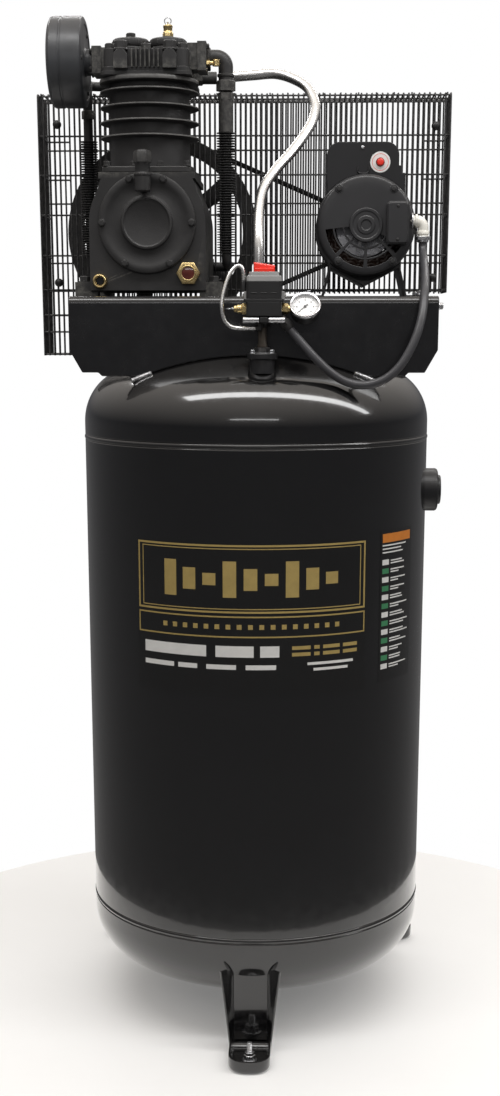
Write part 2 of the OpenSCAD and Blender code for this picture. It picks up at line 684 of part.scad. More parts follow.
// Low-pressure outlet, down the right, behind the crankcase and up the left to the high-pressure inlet.
module intercooler() color(satin_black) place() {
    right = [-49, -52];
    left = [-299, 68];
    run = [100, 1330];
    rod_x(low_y, port_z, outlet_x, right[0], 11);
    leg_bend([right[0], low_y, port_z], 11, [0, -45, 0]);
    rod_z(right[0], low_y, 1636, port_z, 11);
    rod_z(right[0], low_y, 1618, 1640, 16, 6);
    rod_z(right[0], low_y, 1585, 1620, 9);
    translate([right[0], low_y, 1350]) finned(8.6, 16, 236, 6, 2);
    leg_bend([right[0], low_y, 1345], 8, [45, 0, 0]);
    rod_z(right[0], low_y, 1345, 1352, 8);
    rod_y(right[0], 1345, low_y, run[0], 8);
    leg_bend([right[0], run[0], 1345], 8, [0, 90, 135]);
    rod_x(run[0], 1345, left[0], right[0], 8);
    translate([-272, run[0], 1345]) rotate([0, 90, 0]) finned(8.6, 14, 200, 6, 2);
    leg_bend([left[0], run[0], 1345], 8, [0, 90, 45]);
    rod_y(left[0], 1345, left[1], run[0], 8);
    leg_bend([left[0], left[1], 1345], 8, [45, 0, 0]);
    translate([left[0], left[1], 1345]) finned(8.6, 16, 214, 6, 2);
    rod_z(left[0], left[1], 1540, 1655, 8);
    leg_bend([left[0], left[1], 1655], 8, [-45, 0, 0]);
    rod_y(left[0], 1655, left[1], 104, 8);
    leg_bend([left[0], 104, 1655], 8, [0, 90, 45]);
    rod_x(104, 1655, left[0], pump_x - 52, 8);
    leg_bend([pump_x - 52, 104, 1655], 8, [0, 90, 135]);
    rod_y(pump_x - 52, 1655, 83, 104, 8);
    rod_x(40, 1659, pump_x + 71, pump_x + 92, 12.5, 6);
    rod_x(40, 1659, pump_x + 92 - eps, -62, 10.3);
}

module interstage_valve_body() color(brass) place() difference() {
    union() {
        rod_z(cap_x + cap_spread, pump_mid_y, cap_top - 6, cap_top + 4, 6);
        rod_z(cap_x + cap_spread, pump_mid_y, cap_top, cap_top + 10, 9, 6);
        rod_z(cap_x + cap_spread, pump_mid_y, cap_top + 10 - eps, cap_top + 18, 6);
    }
    rod_z(cap_x + cap_spread, pump_mid_y, cap_top + 4, cap_top + 19, 2 + fit);
}

module interstage_valve_ring() color(steel) place() {
    rod_z(cap_x + cap_spread, pump_mid_y, cap_top + 8, cap_top + 22, 2);
    translate([cap_x + cap_spread, pump_mid_y, cap_top + 27]) rotate([90, 0, 0])
        rotate_extrude() translate([6, 0]) circle(1);
}

module crankshaft() color(steel) place() {
    rod_y(pump_x, crank_z, case_front - 6, low_y - 12, journal_r);
    rod_y(pump_x, crank_z, high_y + 12, belt_y + 26, journal_r);
    rod_y(pump_x, crank_z, low_y + 12, high_y - 12, journal_r);
    for (p = [[low_y, 1], [high_y, -1]]) {
        rod_y(pump_x, crank_z + p[1] * crank_throw, p[0] - 12, p[0] + 12, pin_r);
        for (s = [-1, 1]) rod_y(pump_x, crank_z, p[0] + s * 16 - 5, p[0] + s * 16 + 5, 46);
    }
    rod_y(pump_x, crank_z, belt_y + 26 - eps, belt_y + 30, 19, 6);
}

// A ball bearing as one closed ring.
module bearing(x, y0, r_out, r_in) difference() {
    rod_y(x, crank_z, y0, y0 + bearing_w, r_out);
    rod_y(x, crank_z, y0 - 1, y0 + bearing_w + 1, r_in + fit);
}

module shaft_bearings() color(steel) place() {
    bearing(pump_x, case_front - 7, 31, journal_r);
    bearing(pump_x, case_rear - 6, 31, journal_r);
    bearing(motor_x, motor_front - 16, 24, shaft_r);
    bearing(motor_x, motor_rear - 1, 24, shaft_r);
}

// Piston with two ring grooves and its pin, for a bore and the height of its pin.
module piston(y, bore, pin_z) {
    r = bore / 2 - 0.05;
    difference() {
        rod_z(pump_x, y, pin_z - 24, pin_z + 30, r);
        rod_z(pump_x, y, pin_z - 25, pin_z + 22, r - 7);
        rod_x(y, pin_z, pump_x - bore, pump_x + bore, 8);
        for (z = [12, 20]) rotate_extrude_at(y, pin_z + z, r);
    }
    rod_x(y, pin_z, pump_x - r + 2, pump_x + r - 2, 8);
}

module rotate_extrude_at(y, z, r) translate([pump_x, y, z]) difference() {
    cylinder(r = r + 1, h = 2.5);
    translate([0, 0, -1]) cylinder(r = r - 3, h = 5);
}

module pistons() color("lightgrey") place() {
    piston(low_y, bore_low, crank_z + crank_throw + rod_length);
    piston(high_y, bore_high, crank_z - crank_throw + rod_length);
}

module rod(y, pin_z) difference() {
    union() {
        rod_y(pump_x, pin_z, y - 9, y + 9, 20);
        block(pump_x - 9, pump_x + 9, y - 5, y + 5, pin_z + 10, pin_z + rod_length - 8);
        rod_y(pump_x, pin_z + rod_length, y - 9, y + 9, 13);
    }
    rod_y(pump_x, pin_z, y - 10, y + 10, pin_r + fit);
    rod_x(y, pin_z + rod_length, pump_x - 30, pump_x + 30, 8);
}

module connecting_rods() color("lightgrey") place() {
    rod(low_y, crank_z + crank_throw);
    rod(high_y, crank_z - crank_throw);
}

module flywheel() color(cast_black) place() difference() {
    union() {
        difference() {
            rod_y(pump_x, crank_z, belt_y - 15, belt_y + 15, flywheel_d / 2, 96);
            rod_y(pump_x, crank_z, belt_y - 16, belt_y + 16, 148, 96);
        }
        rod_y(pump_x, crank_z, belt_y - 25, belt_y + 25, 34);
        for (i = [0:4]) translate([pump_x, 0, crank_z]) rotate([0, 72 * i + 36, 0])
            translate([0, belt_y - 6, -17]) cube([150, 12, 34]);
    }
    rod_y(pump_x, crank_z, belt_y - 40, belt_y + 40, journal_r);
    difference() {
        rod_y(pump_x, crank_z, belt_y - belt_w / 2 - gap, belt_y + belt_w / 2 + gap, flywheel_d / 2 + 5, 96);
        rod_y(pump_x, crank_z, belt_y - belt_w, belt_y + belt_w, flywheel_belt_r - gap, 96);
    }
}

function arc(middle, r, from, to, steps) =
    [for (i = [0:steps]) let (a = from + (to - from) * i / steps) middle + r * [cos(a), sin(a)]];

// The belt's line round both pulleys, t out from its inside face.
function belt_line(t) = let (apart = motor_x - pump_x, lean = acos((flywheel_belt_r - pulley_belt_r) / apart))
    concat(arc([0, 0], flywheel_belt_r + t, lean, 360 - lean, 48),
           arc([apart, 0], pulley_belt_r + t, -lean, lean, 16));

module v_belt() color("black") place() translate([pump_x, 0, crank_z])
    slab_y(belt_y - belt_w / 2, belt_y + belt_w / 2) difference() {
        polygon(belt_line(belt_t));
        polygon(belt_line(0));
    }

// ---- Motor ----

module motor_frame() color(satin_black) place() difference() {
    rod_y(motor_x, crank_z, motor_front, motor_rear, motor_r);
    rod_y(motor_x, crank_z, motor_front - 1, motor_rear + 1, motor_r - 3);
}

// A bell's window: the part of a ring between two angles.
module window(r0, r1, a0, a1) difference() {
    intersection() {
        circle(r1);
        polygon([[0, 0], 2 * r1 * [cos(a0), sin(a0)], 2 * r1 * [cos(a1), sin(a1)]]);
    }
    circle(r0);
}

module end_bell(y0, y1) difference() {
    union() {
        rod_y(motor_x, crank_z, y0, y1, motor_r);
        rod_y(motor_x, crank_z, y0 - (y0 < 0 ? 6 : 0), y1 + (y0 < 0 ? 0 : 6), 28);
    }
    rod_y(motor_x, crank_z, y0 < 0 ? y0 + 4 : y0 - 1, y0 < 0 ? y1 + 1 : y1 - 4, motor_r - 5);
}

// The bearing carrier inside a bell.
module carrier(y0, y1) difference() {
    rod_y(motor_x, crank_z, y0, y1, 28);
    rod_y(motor_x, crank_z, y0 - 1, y1 + 1, 24);
}

module motor_front_bell() color(satin_black) place() {
    difference() {
        end_bell(motor_front - 20, motor_front);
        translate([motor_x, 0, crank_z]) slab_y(motor_front - 30, motor_front - 10)
            for (ring = [[34, 48], [53, 66]], i = [0:4]) window(ring[0], ring[1], 192 + 32 * i, 220 + 32 * i);
    }
    carrier(motor_front - 16, motor_front);
}

module motor_rear_bell() color(satin_black) place() {
    difference() {
        end_bell(motor_rear, motor_rear + 18);
        rod_y(motor_x, crank_z, motor_rear - 1, motor_rear + 30, shaft_r + 2);
        translate([motor_x, 0, crank_z]) slab_y(motor_rear + 8, motor_rear + 19)
            for (i = [0:7]) window(36, 66, 45 * i + 4, 45 * i + 38);
    }
    carrier(motor_rear, motor_rear + 14);
}

module motor_stator() color("silver") place() {
    difference() {
        rod_y(motor_x, crank_z, -30, 60, motor_r - 3);
        rod_y(motor_x, crank_z, -31, 61, 50);
    }
    color([0.6, 0.3, 0.15]) for (y = [-46, 60 - eps]) difference() {
        rod_y(motor_x, crank_z, y, y + 16 + eps, 74);
        rod_y(motor_x, crank_z, y - 1, y + 18, 54);
    }
}

module motor_rotor() color("silver") place() {
    rod_y(motor_x, crank_z, motor_front - 15, belt_y + 16, shaft_r);
    rod_y(motor_x, crank_z, -32, 62, 49.5);
    for (i = [0:7]) translate([motor_x, 0, crank_z]) rotate([0, 45 * i, 0])
        translate([30, 62 - eps, -1.5]) cube([18, 12, 3]);
}

module motor_pulley() color(cast_black) place() difference() {
    rod_y(motor_x, crank_z, belt_y - 13, belt_y + 13, pulley_d / 2);
    rod_y(motor_x, crank_z, belt_y - 14, belt_y + 14, shaft_r);
    difference() {
        rod_y(motor_x, crank_z, belt_y - belt_w / 2 - gap, belt_y + belt_w / 2 + gap, pulley_d / 2 + 5);
        rod_y(motor_x, crank_z, belt_y - belt_w, belt_y + belt_w, pulley_belt_r - gap);
    }
}

// Outline of the start-switch and capacitor box over the motor.
module box_outline(t) {
    translate([motor_x - 6, 1501]) round_rect(122 - 2 * t, 82 - 2 * t, 22);
    translate([motor_x - 66 + t, 1450 + t]) square([132 - 2 * t, 42 - 2 * t]);
    translate([motor_x - 60 + t, 1470 + t]) square([120 - 2 * t, 34 - 2 * t]);
}

module motor_switch_box() color(satin_black) place() difference() {
    slab_y(-62, 40) box_outline(0);
    slab_y(-60, 38) box_outline(2);
    rod_y(motor_x, crank_z, -100, 120, motor_r);
    rod_y(211, 1509, -65, -59, 6 + gap);
}

module motor_reset_button() color("red") place() {
    rod_y(211, 1509, -68, -56, 6);
    rod_y(211, 1509, -57, -55, 9);
}

module motor_side_cover() color(satin_black) place() slab_y(motor_front - 36, motor_front - 20)
    translate([motor_x + 53, crank_z + 3]) round_rect(38, 70, 7);

// One bent sheet under the motor: splayed legs, a V dip and two saddles up to the shell.
module motor_cradle() color(satin_black) place() difference() {
    union() {
        slab_y(-48, 80)
            polygon([[motor_x - 108, deck_z], [motor_x - 70, deck_z], [motor_x - 58, cradle_low + 28],
                     [motor_x, cradle_low - 2], [motor_x + 58, cradle_low + 28], [motor_x + 70, deck_z],
                     [motor_x + 108, deck_z], [motor_x + 108, deck_z + 4], [motor_x + 73, deck_z + 4],
                     [motor_x + 60, cradle_low + 35], [motor_x, cradle_low + 2],
                     [motor_x - 60, cradle_low + 35], [motor_x - 73, deck_z + 4],
                     [motor_x - 108, deck_z + 4]]);
        for (y = [-44, 56]) slab_y(y, y + 20) polygon([
            [motor_x - 60, cradle_low + 35 - eps], [motor_x, cradle_low + 2 - eps],
            [motor_x + 60, cradle_low + 35 - eps], [motor_x + 60, cradle_low + 50],
            [motor_x - 60, cradle_low + 50]]);
    }
    rod_y(motor_x, crank_z, -90, 120, motor_r);
}

// ---- Guard ----

function guard_foot(x) = x < guard_steps[0] ? guard_low : x < guard_steps[1] ? guard_mid : guard_deck;

module guard_grid() {
    for (x = [guard_left:guard_pitch:guard_right])
        translate([x, guard_foot(x)]) square([guard_bar, guard_top - guard_foot(x)]);
    for (x = [guard_steps[0], guard_steps[1], guard_right - guard_bar])
        translate([x, guard_foot(x - 1)]) square([guard_bar, guard_top - guard_foot(x - 1)]);
    for (z = [guard_deck, 1360, 1440, 1520, 1600, guard_top - guard_bar])
        translate([guard_left, z]) square([guard_right - guard_left, guard_bar]);
    for (z = [guard_mid, 1262]) translate([guard_left, z]) square([guard_steps[1] - guard_left, guard_bar]);
    translate([guard_left, guard_low]) square([guard_steps[0] - guard_left, guard_bar]);
}

// The front panel lies behind the pump and motor, and is open where the two shafts go through it.
module guard_front() color(satin_black) place() slab_y(guard_front_y - guard_bar, guard_front_y) difference() {
    union() {
        guard_grid();
        translate([pump_x, crank_z]) circle(62);
        translate([motor_x, crank_z]) circle(46);
    }
    translate([pump_x, crank_z]) circle(56);
    translate([motor_x, crank_z]) circle(40);
}

module guard_rear() color(satin_black) place()
    slab_y(guard_rear_y, guard_rear_y + guard_bar) guard_grid();

// The rear half's bent-over top and sides, which reach forward to the front panel.
module guard_wrap() color(satin_black) place() {
    for (x = [guard_left:guard_pitch:guard_right])
        block(x, x + guard_bar, guard_front_y, guard_rear_y, guard_top - guard_bar, guard_top);
    for (z = [guard_low, guard_mid, 1262, guard_deck, 1360, 1440, 1520, 1600])
        block(guard_left, guard_left + guard_bar, guard_front_y, guard_rear_y, z, z + guard_bar);
    for (z = [guard_deck, 1360, 1440, 1520, 1600])
        block(guard_right - guard_bar, guard_right, guard_front_y, guard_rear_y, z, z + guard_bar);
    y = (guard_front_y + guard_rear_y) / 2;
    block(guard_left, guard_right, y, y + guard_bar, guard_top - guard_bar, guard_top);
    block(guard_left, guard_left + guard_bar, y, y + guard_bar, guard_low, guard_top);
    block(guard_right - guard_bar, guard_right, y, y + guard_bar, guard_deck, guard_top);
}

module guard_knobs() color("black") place() for (p = [[-362, 1593], [-366, 1318], [317, 1588], [318, 1326]])
    rod_y(p[0], p[1], guard_front_y - 14, guard_front_y - guard_bar, 7.5);

tank_shell();
tank_top_head();
tank_bottom_head();
tank_side_bung();
feet();
drain_valve_body();
drain_valve_knob();
platform();
hex_bolts();
riser_pipe();
control_manifold();
pressure_switch_base();
pressure_switch_cover();
auto_off_lever();
gauge_case();
gauge_dial();
gauge_needle();
gauge_lens();
relief_valve_body();
relief_valve_ring();
unloader_tube();
discharge_tube();
check_valve();
conduit();
conduit_connectors();
crankcase();
crankcase_cover();
oil_filler_cap();
oil_drain_plug();
sight_glass_bezel();
sight_glass_lens();
cylinder_block();
valve_plate();
cylinder_head();
valve_caps();
air_filter_housing();
air_filter_element();
intercooler();
interstage_valve_body();
interstage_valve_ring();
crankshaft();
shaft_bearings();
pistons();
connecting_rods();
flywheel();
v_belt();
motor_frame();
motor_front_bell();
motor_rear_bell();
motor_stator();
motor_rotor();
motor_pulley();
motor_switch_box();
motor_reset_button();
motor_side_cover();
motor_cradle();
guard_front();
guard_rear();
guard_wrap();
guard_knobs();
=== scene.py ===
"""Looks of the vertical tank air compressor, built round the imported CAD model.

Sizes written as plain numbers below are the CAD's own millimetres about the tank's axis; at() turns them
into metres in the row frame.
"""
import json
import math
import random

import bmesh
import bpy
from mathutils import Matrix, Vector


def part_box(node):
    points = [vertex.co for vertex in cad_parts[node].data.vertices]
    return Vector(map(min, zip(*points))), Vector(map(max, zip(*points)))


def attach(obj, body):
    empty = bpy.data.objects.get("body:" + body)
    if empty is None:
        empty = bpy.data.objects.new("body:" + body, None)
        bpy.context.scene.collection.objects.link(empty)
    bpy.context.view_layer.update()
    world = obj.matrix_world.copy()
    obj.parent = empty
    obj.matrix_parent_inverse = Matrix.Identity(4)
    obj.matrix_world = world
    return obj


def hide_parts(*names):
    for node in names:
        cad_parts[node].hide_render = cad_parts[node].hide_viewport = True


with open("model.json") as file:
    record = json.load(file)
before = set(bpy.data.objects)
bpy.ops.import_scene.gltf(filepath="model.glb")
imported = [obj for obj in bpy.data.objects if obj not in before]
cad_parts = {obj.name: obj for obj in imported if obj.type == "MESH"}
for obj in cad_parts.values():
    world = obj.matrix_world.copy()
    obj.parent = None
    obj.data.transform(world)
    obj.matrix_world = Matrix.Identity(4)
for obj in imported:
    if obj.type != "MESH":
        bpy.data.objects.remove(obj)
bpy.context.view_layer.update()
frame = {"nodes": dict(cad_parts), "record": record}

NODES = frame["nodes"]
SLOT_OF = {p["node"]: p["material_slot"] for p in frame["record"]["subparts"]}
BODY_OF = {n: b for b, members in frame["record"]["behaviour"]["bodies"].items() for n in members}
MM = 0.001
X, Y, Z = Vector((1, 0, 0)), Vector((0, 1, 0)), Vector((0, 0, 1))
SCENE = bpy.context.scene
RANDOM = random.Random(7)

HEAD_LO, HEAD_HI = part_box("tank_top_head")
AXIS_X, AXIS_Y = (HEAD_LO.x + HEAD_HI.x) / 2, (HEAD_LO.y + HEAD_HI.y) / 2


def at(x, y, z):
    """A point in millimetres about the tank's axis, as metres in the row frame."""
    return Vector((AXIS_X + x * MM, AXIS_Y + y * MM, z * MM))


def polar(a):
    return math.cos(math.radians(a)), math.sin(math.radians(a))


# ---------------------------------------------------------------- camera

def make_camera():
    data = bpy.data.cameras.new("camera")
    data.sensor_width = 36.0
    data.lens = 50.65
    data.shift_y = 0.126
    data.clip_start, data.clip_end = 0.05, 60
    cam = bpy.data.objects.new("camera", data)
    SCENE.collection.objects.link(cam)
    cam.location = at(82, -2800, 1235)
    cam.rotation_euler = (math.radians(90 - 13.04), 0, math.radians(1.9))
    SCENE.camera = cam


make_camera()


# ---------------------------------------------------------------- materials

def noise(nt, coord, scale, detail=3.0, rough=0.55):
    n = nt.nodes.new("ShaderNodeTexNoise")
    n.inputs["Scale"].default_value = scale
    n.inputs["Detail"].default_value = detail
    n.inputs["Roughness"].default_value = rough
    nt.links.new(coord, n.inputs["Vector"])
    return n.outputs["Fac"]


def remap(nt, value, low, high, a, b):
    """value between low and high becomes a to b."""
    m = nt.nodes.new("ShaderNodeMapRange")
    for key, v in (("From Min", low), ("From Max", high), ("To Min", a), ("To Max", b)):
        m.inputs[key].default_value = v
    nt.links.new(value, m.inputs["Value"])
    return m.outputs["Result"]


def blend_colour(nt, factor, a, b):
    m = nt.nodes.new("ShaderNodeMix")
    m.data_type = "RGBA"
    for socket, v in ((m.inputs[6], a), (m.inputs[7], b)):
        if isinstance(v, (tuple, list)):
            socket.default_value = (*v[:3], 1)
        else:
            nt.links.new(v, socket)
    nt.links.new(factor, m.inputs[0])
    return m.outputs[2]


def bump(nt, height, depth, under=None):
    b = nt.nodes.new("ShaderNodeBump")
    b.inputs["Strength"].default_value = 1.0
    b.inputs["Distance"].default_value = depth
    nt.links.new(height, b.inputs["Height"])
    if under is not None:
        nt.links.new(under, b.inputs["Normal"])
    return b.outputs["Normal"]


def shade(c, k):
    return tuple(min(1.0, v * k) for v in c[:3])


def surface(name, base, rough, metal=0.0, coat=0.0, coat_rough=0.04, reliefs=(), mottle=(9, 0.15),
            spread=0.05,
            edge_wear_and_highlight=None, brushed=None, dust=None):
    """A finish: mottled colour, uneven roughness, relief (scale per metre, depth in metres), edges lightened
    as wear and painted highlight.
    """
    mat = bpy.data.materials.new(name)
    mat.use_nodes = True
    nt = mat.node_tree
    bsdf = nt.nodes["Principled BSDF"]
    coord = nt.nodes.new("ShaderNodeTexCoord").outputs["Object"]
    cloud = noise(nt, coord, mottle[0], 5, 0.6)
    colour = blend_colour(nt, remap(nt, cloud, 0.3, 0.7, 0, 1), shade(base, 1 - mottle[1]),
                          shade(base, 1 + mottle[1]))
    roughness = remap(nt, noise(nt, coord, mottle[0] * 6, 4, 0.65), 0.3, 0.7, max(0.02, rough - spread),
                      rough + spread)
    if dust:
        geo = nt.nodes.new("ShaderNodeNewGeometry")
        split = nt.nodes.new("ShaderNodeSeparateXYZ")
        nt.links.new(geo.outputs["Normal"], split.inputs[0])
        up = remap(nt, split.outputs["Z"], 0.3, 1.0, 0, dust[1])
        patchy = nt.nodes.new("ShaderNodeMath")
        patchy.operation = "MULTIPLY"
        nt.links.new(up, patchy.inputs[0])
        nt.links.new(remap(nt, noise(nt, coord, 30, 6, 0.7), 0.35, 0.75, 0.3, 1), patchy.inputs[1])
        colour = blend_colour(nt, patchy.outputs[0], colour, dust[0])
    if edge_wear_and_highlight:
        # sharp convex edges made lighter: partly worn paint, partly a painted highlight
        geo = nt.nodes.new("ShaderNodeNewGeometry")
        edge = remap(nt, geo.outputs["Pointiness"], edge_wear_and_highlight[1], edge_wear_and_highlight[1] + 0.08, 0, edge_wear_and_highlight[2])
        broken = nt.nodes.new("ShaderNodeMath")
        broken.operation = "MULTIPLY"
        nt.links.new(edge, broken.inputs[0])
        nt.links.new(remap(nt, noise(nt, coord, 120, 5, 0.7), 0.42, 0.62, 0.15, 1), broken.inputs[1])
        colour = blend_colour(nt, broken.outputs[0], colour, edge_wear_and_highlight[0])
    nt.links.new(colour, bsdf.inputs["Base Color"])
    normal = None
    if brushed:
        stretch = nt.nodes.new("ShaderNodeMapping")
        stretch.inputs["Scale"].default_value = brushed[0]
        nt.links.new(coord, stretch.inputs["Vector"])
        lines = noise(nt, stretch.outputs[0], 60, 4, 0.7)
        normal = bump(nt, lines, brushed[1])
        both = nt.nodes.new("ShaderNodeMath")
        both.operation = "ADD"
        nt.links.new(roughness, both.inputs[0])
        nt.links.new(remap(nt, lines, 0.3, 0.7, -brushed[2], brushed[2]), both.inputs[1])
        roughness = both.outputs[0]
    nt.links.new(roughness, bsdf.inputs["Roughness"])
    for scale, depth in reliefs:
        normal = bump(nt, noise(nt, coord, scale, 3, 0.55), depth, normal)
    if normal is not None:
        nt.links.new(normal, bsdf.inputs["Normal"])
        if coat:
            nt.links.new(normal, bsdf.inputs["Coat Normal"])
    bsdf.inputs["Metallic"].default_value = metal
    bsdf.inputs["Coat Weight"].default_value = coat
    bsdf.inputs["Coat Roughness"].default_value = coat_rough
    return mat


STEEL_WEAR = (0.34, 0.33, 0.32)
MATS = {
    "tank_paint": surface("gloss_enamel", (0.0045, 0.0045, 0.005), 0.16, coat=1.0, coat_rough=0.03,
                          spread=0.05,
                          reliefs=((230, 1.6e-5), (7, 2.4e-4)), dust=((0.05, 0.045, 0.04), 0.10)),
    "frame_paint": surface("powder_coat", (0.011, 0.011, 0.0125), 0.40, reliefs=((800, 3.5e-5), (40, 4e-5)),
                           spread=0.07, edge_wear_and_highlight=(STEEL_WEAR, 0.56, 0.25), dust=((0.07, 0.065, 0.06), 0.18)),
    # the casting's pale edges are partly worn paint and partly a painted highlight
    "cast_paint": surface("painted_casting", (0.022, 0.0215, 0.022), 0.50,
                          reliefs=((420, 1.3e-4), (70, 2.5e-4)),
                          mottle=(14, 0.25), spread=0.09, edge_wear_and_highlight=((0.16, 0.155, 0.14), 0.54, 0.55),
                          dust=((0.10, 0.095, 0.085), 0.25)),
    "machined_steel": surface("machined_steel", (0.50, 0.50, 0.52), 0.30, metal=1,
                              brushed=((1, 30, 1), 2e-5, 0.08)),
    "zinc_steel": surface("bright_zinc", (0.66, 0.67, 0.69), 0.27, metal=1, reliefs=((300, 1.5e-5),),
                          brushed=((12, 12, 1), 1e-5, 0.06), mottle=(60, 0.14)),
    "tube_metal": surface("drawn_tube", (0.86, 0.86, 0.85), 0.27, metal=1, reliefs=((90, 6e-6),),
                          brushed=((1, 1, 25), 3e-6, 0.03), mottle=(40, 0.03), spread=0.03),
    "brass": surface("machined_brass", (0.78, 0.60, 0.29), 0.27, metal=1, reliefs=((260, 1.5e-5),),
                     mottle=(70, 0.16), edge_wear_and_highlight=((0.92, 0.76, 0.42), 0.54, 0.5)),
    "chrome": surface("chrome_plate", (0.80, 0.80, 0.82), 0.09, metal=1, reliefs=((200, 6e-6),),
                      mottle=(40, 0.05),
                      spread=0.03),
    "cast_aluminium": surface("cast_aluminium", (0.52, 0.52, 0.53), 0.45, metal=1, reliefs=((500, 8e-5),)),
    "copper_windings": surface("wound_copper", (0.42, 0.12, 0.05), 0.38, metal=0.6, coat=0.5,
                               coat_rough=0.2,
                               brushed=((3, 60, 3), 2.5e-4, 0.1), reliefs=((240, 1e-4),)),
    "black_plastic": surface("black_moulding", (0.014, 0.014, 0.0145), 0.42, reliefs=((1100, 3e-5),),
                             mottle=(30, 0.1)),
    "grey_plastic": surface("grey_moulding", (0.20, 0.20, 0.195), 0.38, reliefs=((900, 2.5e-5),),
                            mottle=(35, 0.08)),
    "red_plastic": surface("red_moulding", (0.84, 0.032, 0.015), 0.28, coat=0.4, coat_rough=0.1,
                           reliefs=((500, 1.5e-5),), mottle=(40, 0.08)),
    "white_plastic": surface("white_print", (0.80, 0.80, 0.78), 0.40, reliefs=((600, 1e-5),),
                             mottle=(30, 0.04)),
    "ivory_plastic": surface("ivory_nylon", (0.84, 0.82, 0.75), 0.33, reliefs=((500, 2e-5),),
                             mottle=(40, 0.08)),
    "conduit_jacket": surface("pvc_jacket", (0.055, 0.055, 0.06), 0.36, reliefs=((260, 2.5e-5),),
                              mottle=(40, 0.12)),
    "belt_rubber": surface("belt_rubber", (0.012, 0.012, 0.012), 0.68, reliefs=((900, 5e-5),),
                           mottle=(40, 0.3),
                           dust=((0.06, 0.055, 0.05), 0.3)),
    "filter_paper": surface("filter_paper", (0.66, 0.56, 0.34), 0.85, reliefs=((700, 5e-5),),
                            mottle=(50, 0.1)),
}
GOLD_INK = surface("gold_ink", (0.50, 0.37, 0.13), 0.42, metal=0.35, reliefs=((700, 8e-6),),
                   mottle=(60, 0.08))
WHITE_INK = surface("white_ink", (0.72, 0.72, 0.70), 0.40, reliefs=((700, 8e-6),), mottle=(60, 0.05))
ORANGE_INK = surface("orange_ink", (0.60, 0.20, 0.03), 0.42, reliefs=((700, 8e-6),), mottle=(60, 0.06))
GREEN_INK = surface("green_ink", (0.05, 0.22, 0.10), 0.42, reliefs=((700, 8e-6),), mottle=(60, 0.06))
# black label film, also used as painted shade in the bung's bore and the drain plug's socket
LABEL_BLACK_AND_SHADE = surface("label_film_and_painted_shade", (0.0065, 0.0065, 0.0065), 0.22, coat=0.6, coat_rough=0.06,
                      reliefs=((300, 1e-5),))
# dark dial print, also used as painted shade for the relief valve's vent holes
DIAL_INK_AND_SHADE = surface("dial_ink_and_painted_shade", (0.02, 0.02, 0.02), 0.5, reliefs=((700, 8e-6),))
WELD_METAL = surface("weld_metal", (0.66, 0.66, 0.67), 0.25, metal=1, reliefs=((260, 3e-4),),
                     mottle=(90, 0.3))
RUSTY_PIPE = surface("black_iron_pipe", (0.055, 0.045, 0.036), 0.42, metal=0.5, reliefs=((500, 6e-5),),
                     brushed=((1, 1, 20), 2e-5, 0.08), mottle=(60, 0.35))

FIN_EDGE = surface("fin_edge", (0.13, 0.128, 0.124), 0.46, reliefs=((300, 1e-4),), mottle=(60, 0.35))
BELL_PAINT = surface("bell_enamel", (0.027, 0.027, 0.029), 0.36, reliefs=((600, 3e-5),), mottle=(20, 0.1),
                     dust=((0.09, 0.085, 0.08), 0.2))
DECK_PAINT = surface("deck_enamel", (0.009, 0.009, 0.010), 0.24, coat=0.5, coat_rough=0.08,
                     reliefs=((600, 2e-5), (30, 5e-5)), dust=((0.06, 0.055, 0.05), 0.15))
VARNISH = surface("varnished_winding", (0.030, 0.014, 0.009), 0.40, coat=0.4, coat_rough=0.25,
                  reliefs=((240, 1e-4),))
DARK_CORE = surface("laminated_core", (0.030, 0.030, 0.032), 0.50, brushed=((3, 60, 3), 1e-4, 0.05))
DIAL_WHITE = surface("dial_enamel", (0.95, 0.95, 0.94), 0.45, reliefs=((600, 6e-6),), mottle=(30, 0.02))
LIGHT_GREY = surface("pale_grey_moulding", (0.36, 0.36, 0.355), 0.40, reliefs=((900, 2.5e-5),),
                     mottle=(35, 0.06))


def glass(name, tint, rough):
    mat = surface(name, tint, rough, reliefs=((60, 4e-6),), mottle=(30, 0.03), spread=0.015)
    mat.node_tree.nodes["Principled BSDF"].inputs["Alpha"].default_value = 0.05
    return mat


MATS["clear_glass"] = glass("gauge_glass", (0.97, 0.98, 0.98), 0.03)
MATS["red_glass"] = surface("oil_glass", (0.10, 0.018, 0.012), 0.10, coat=1.0, reliefs=((150, 1e-5),),
                            mottle=(60, 0.4))


# ---------------------------------------------------------------- mesh building

def basis(w):
    w = w.normalized()
    u = w.orthogonal().normalized()
    return u, w.cross(u), w


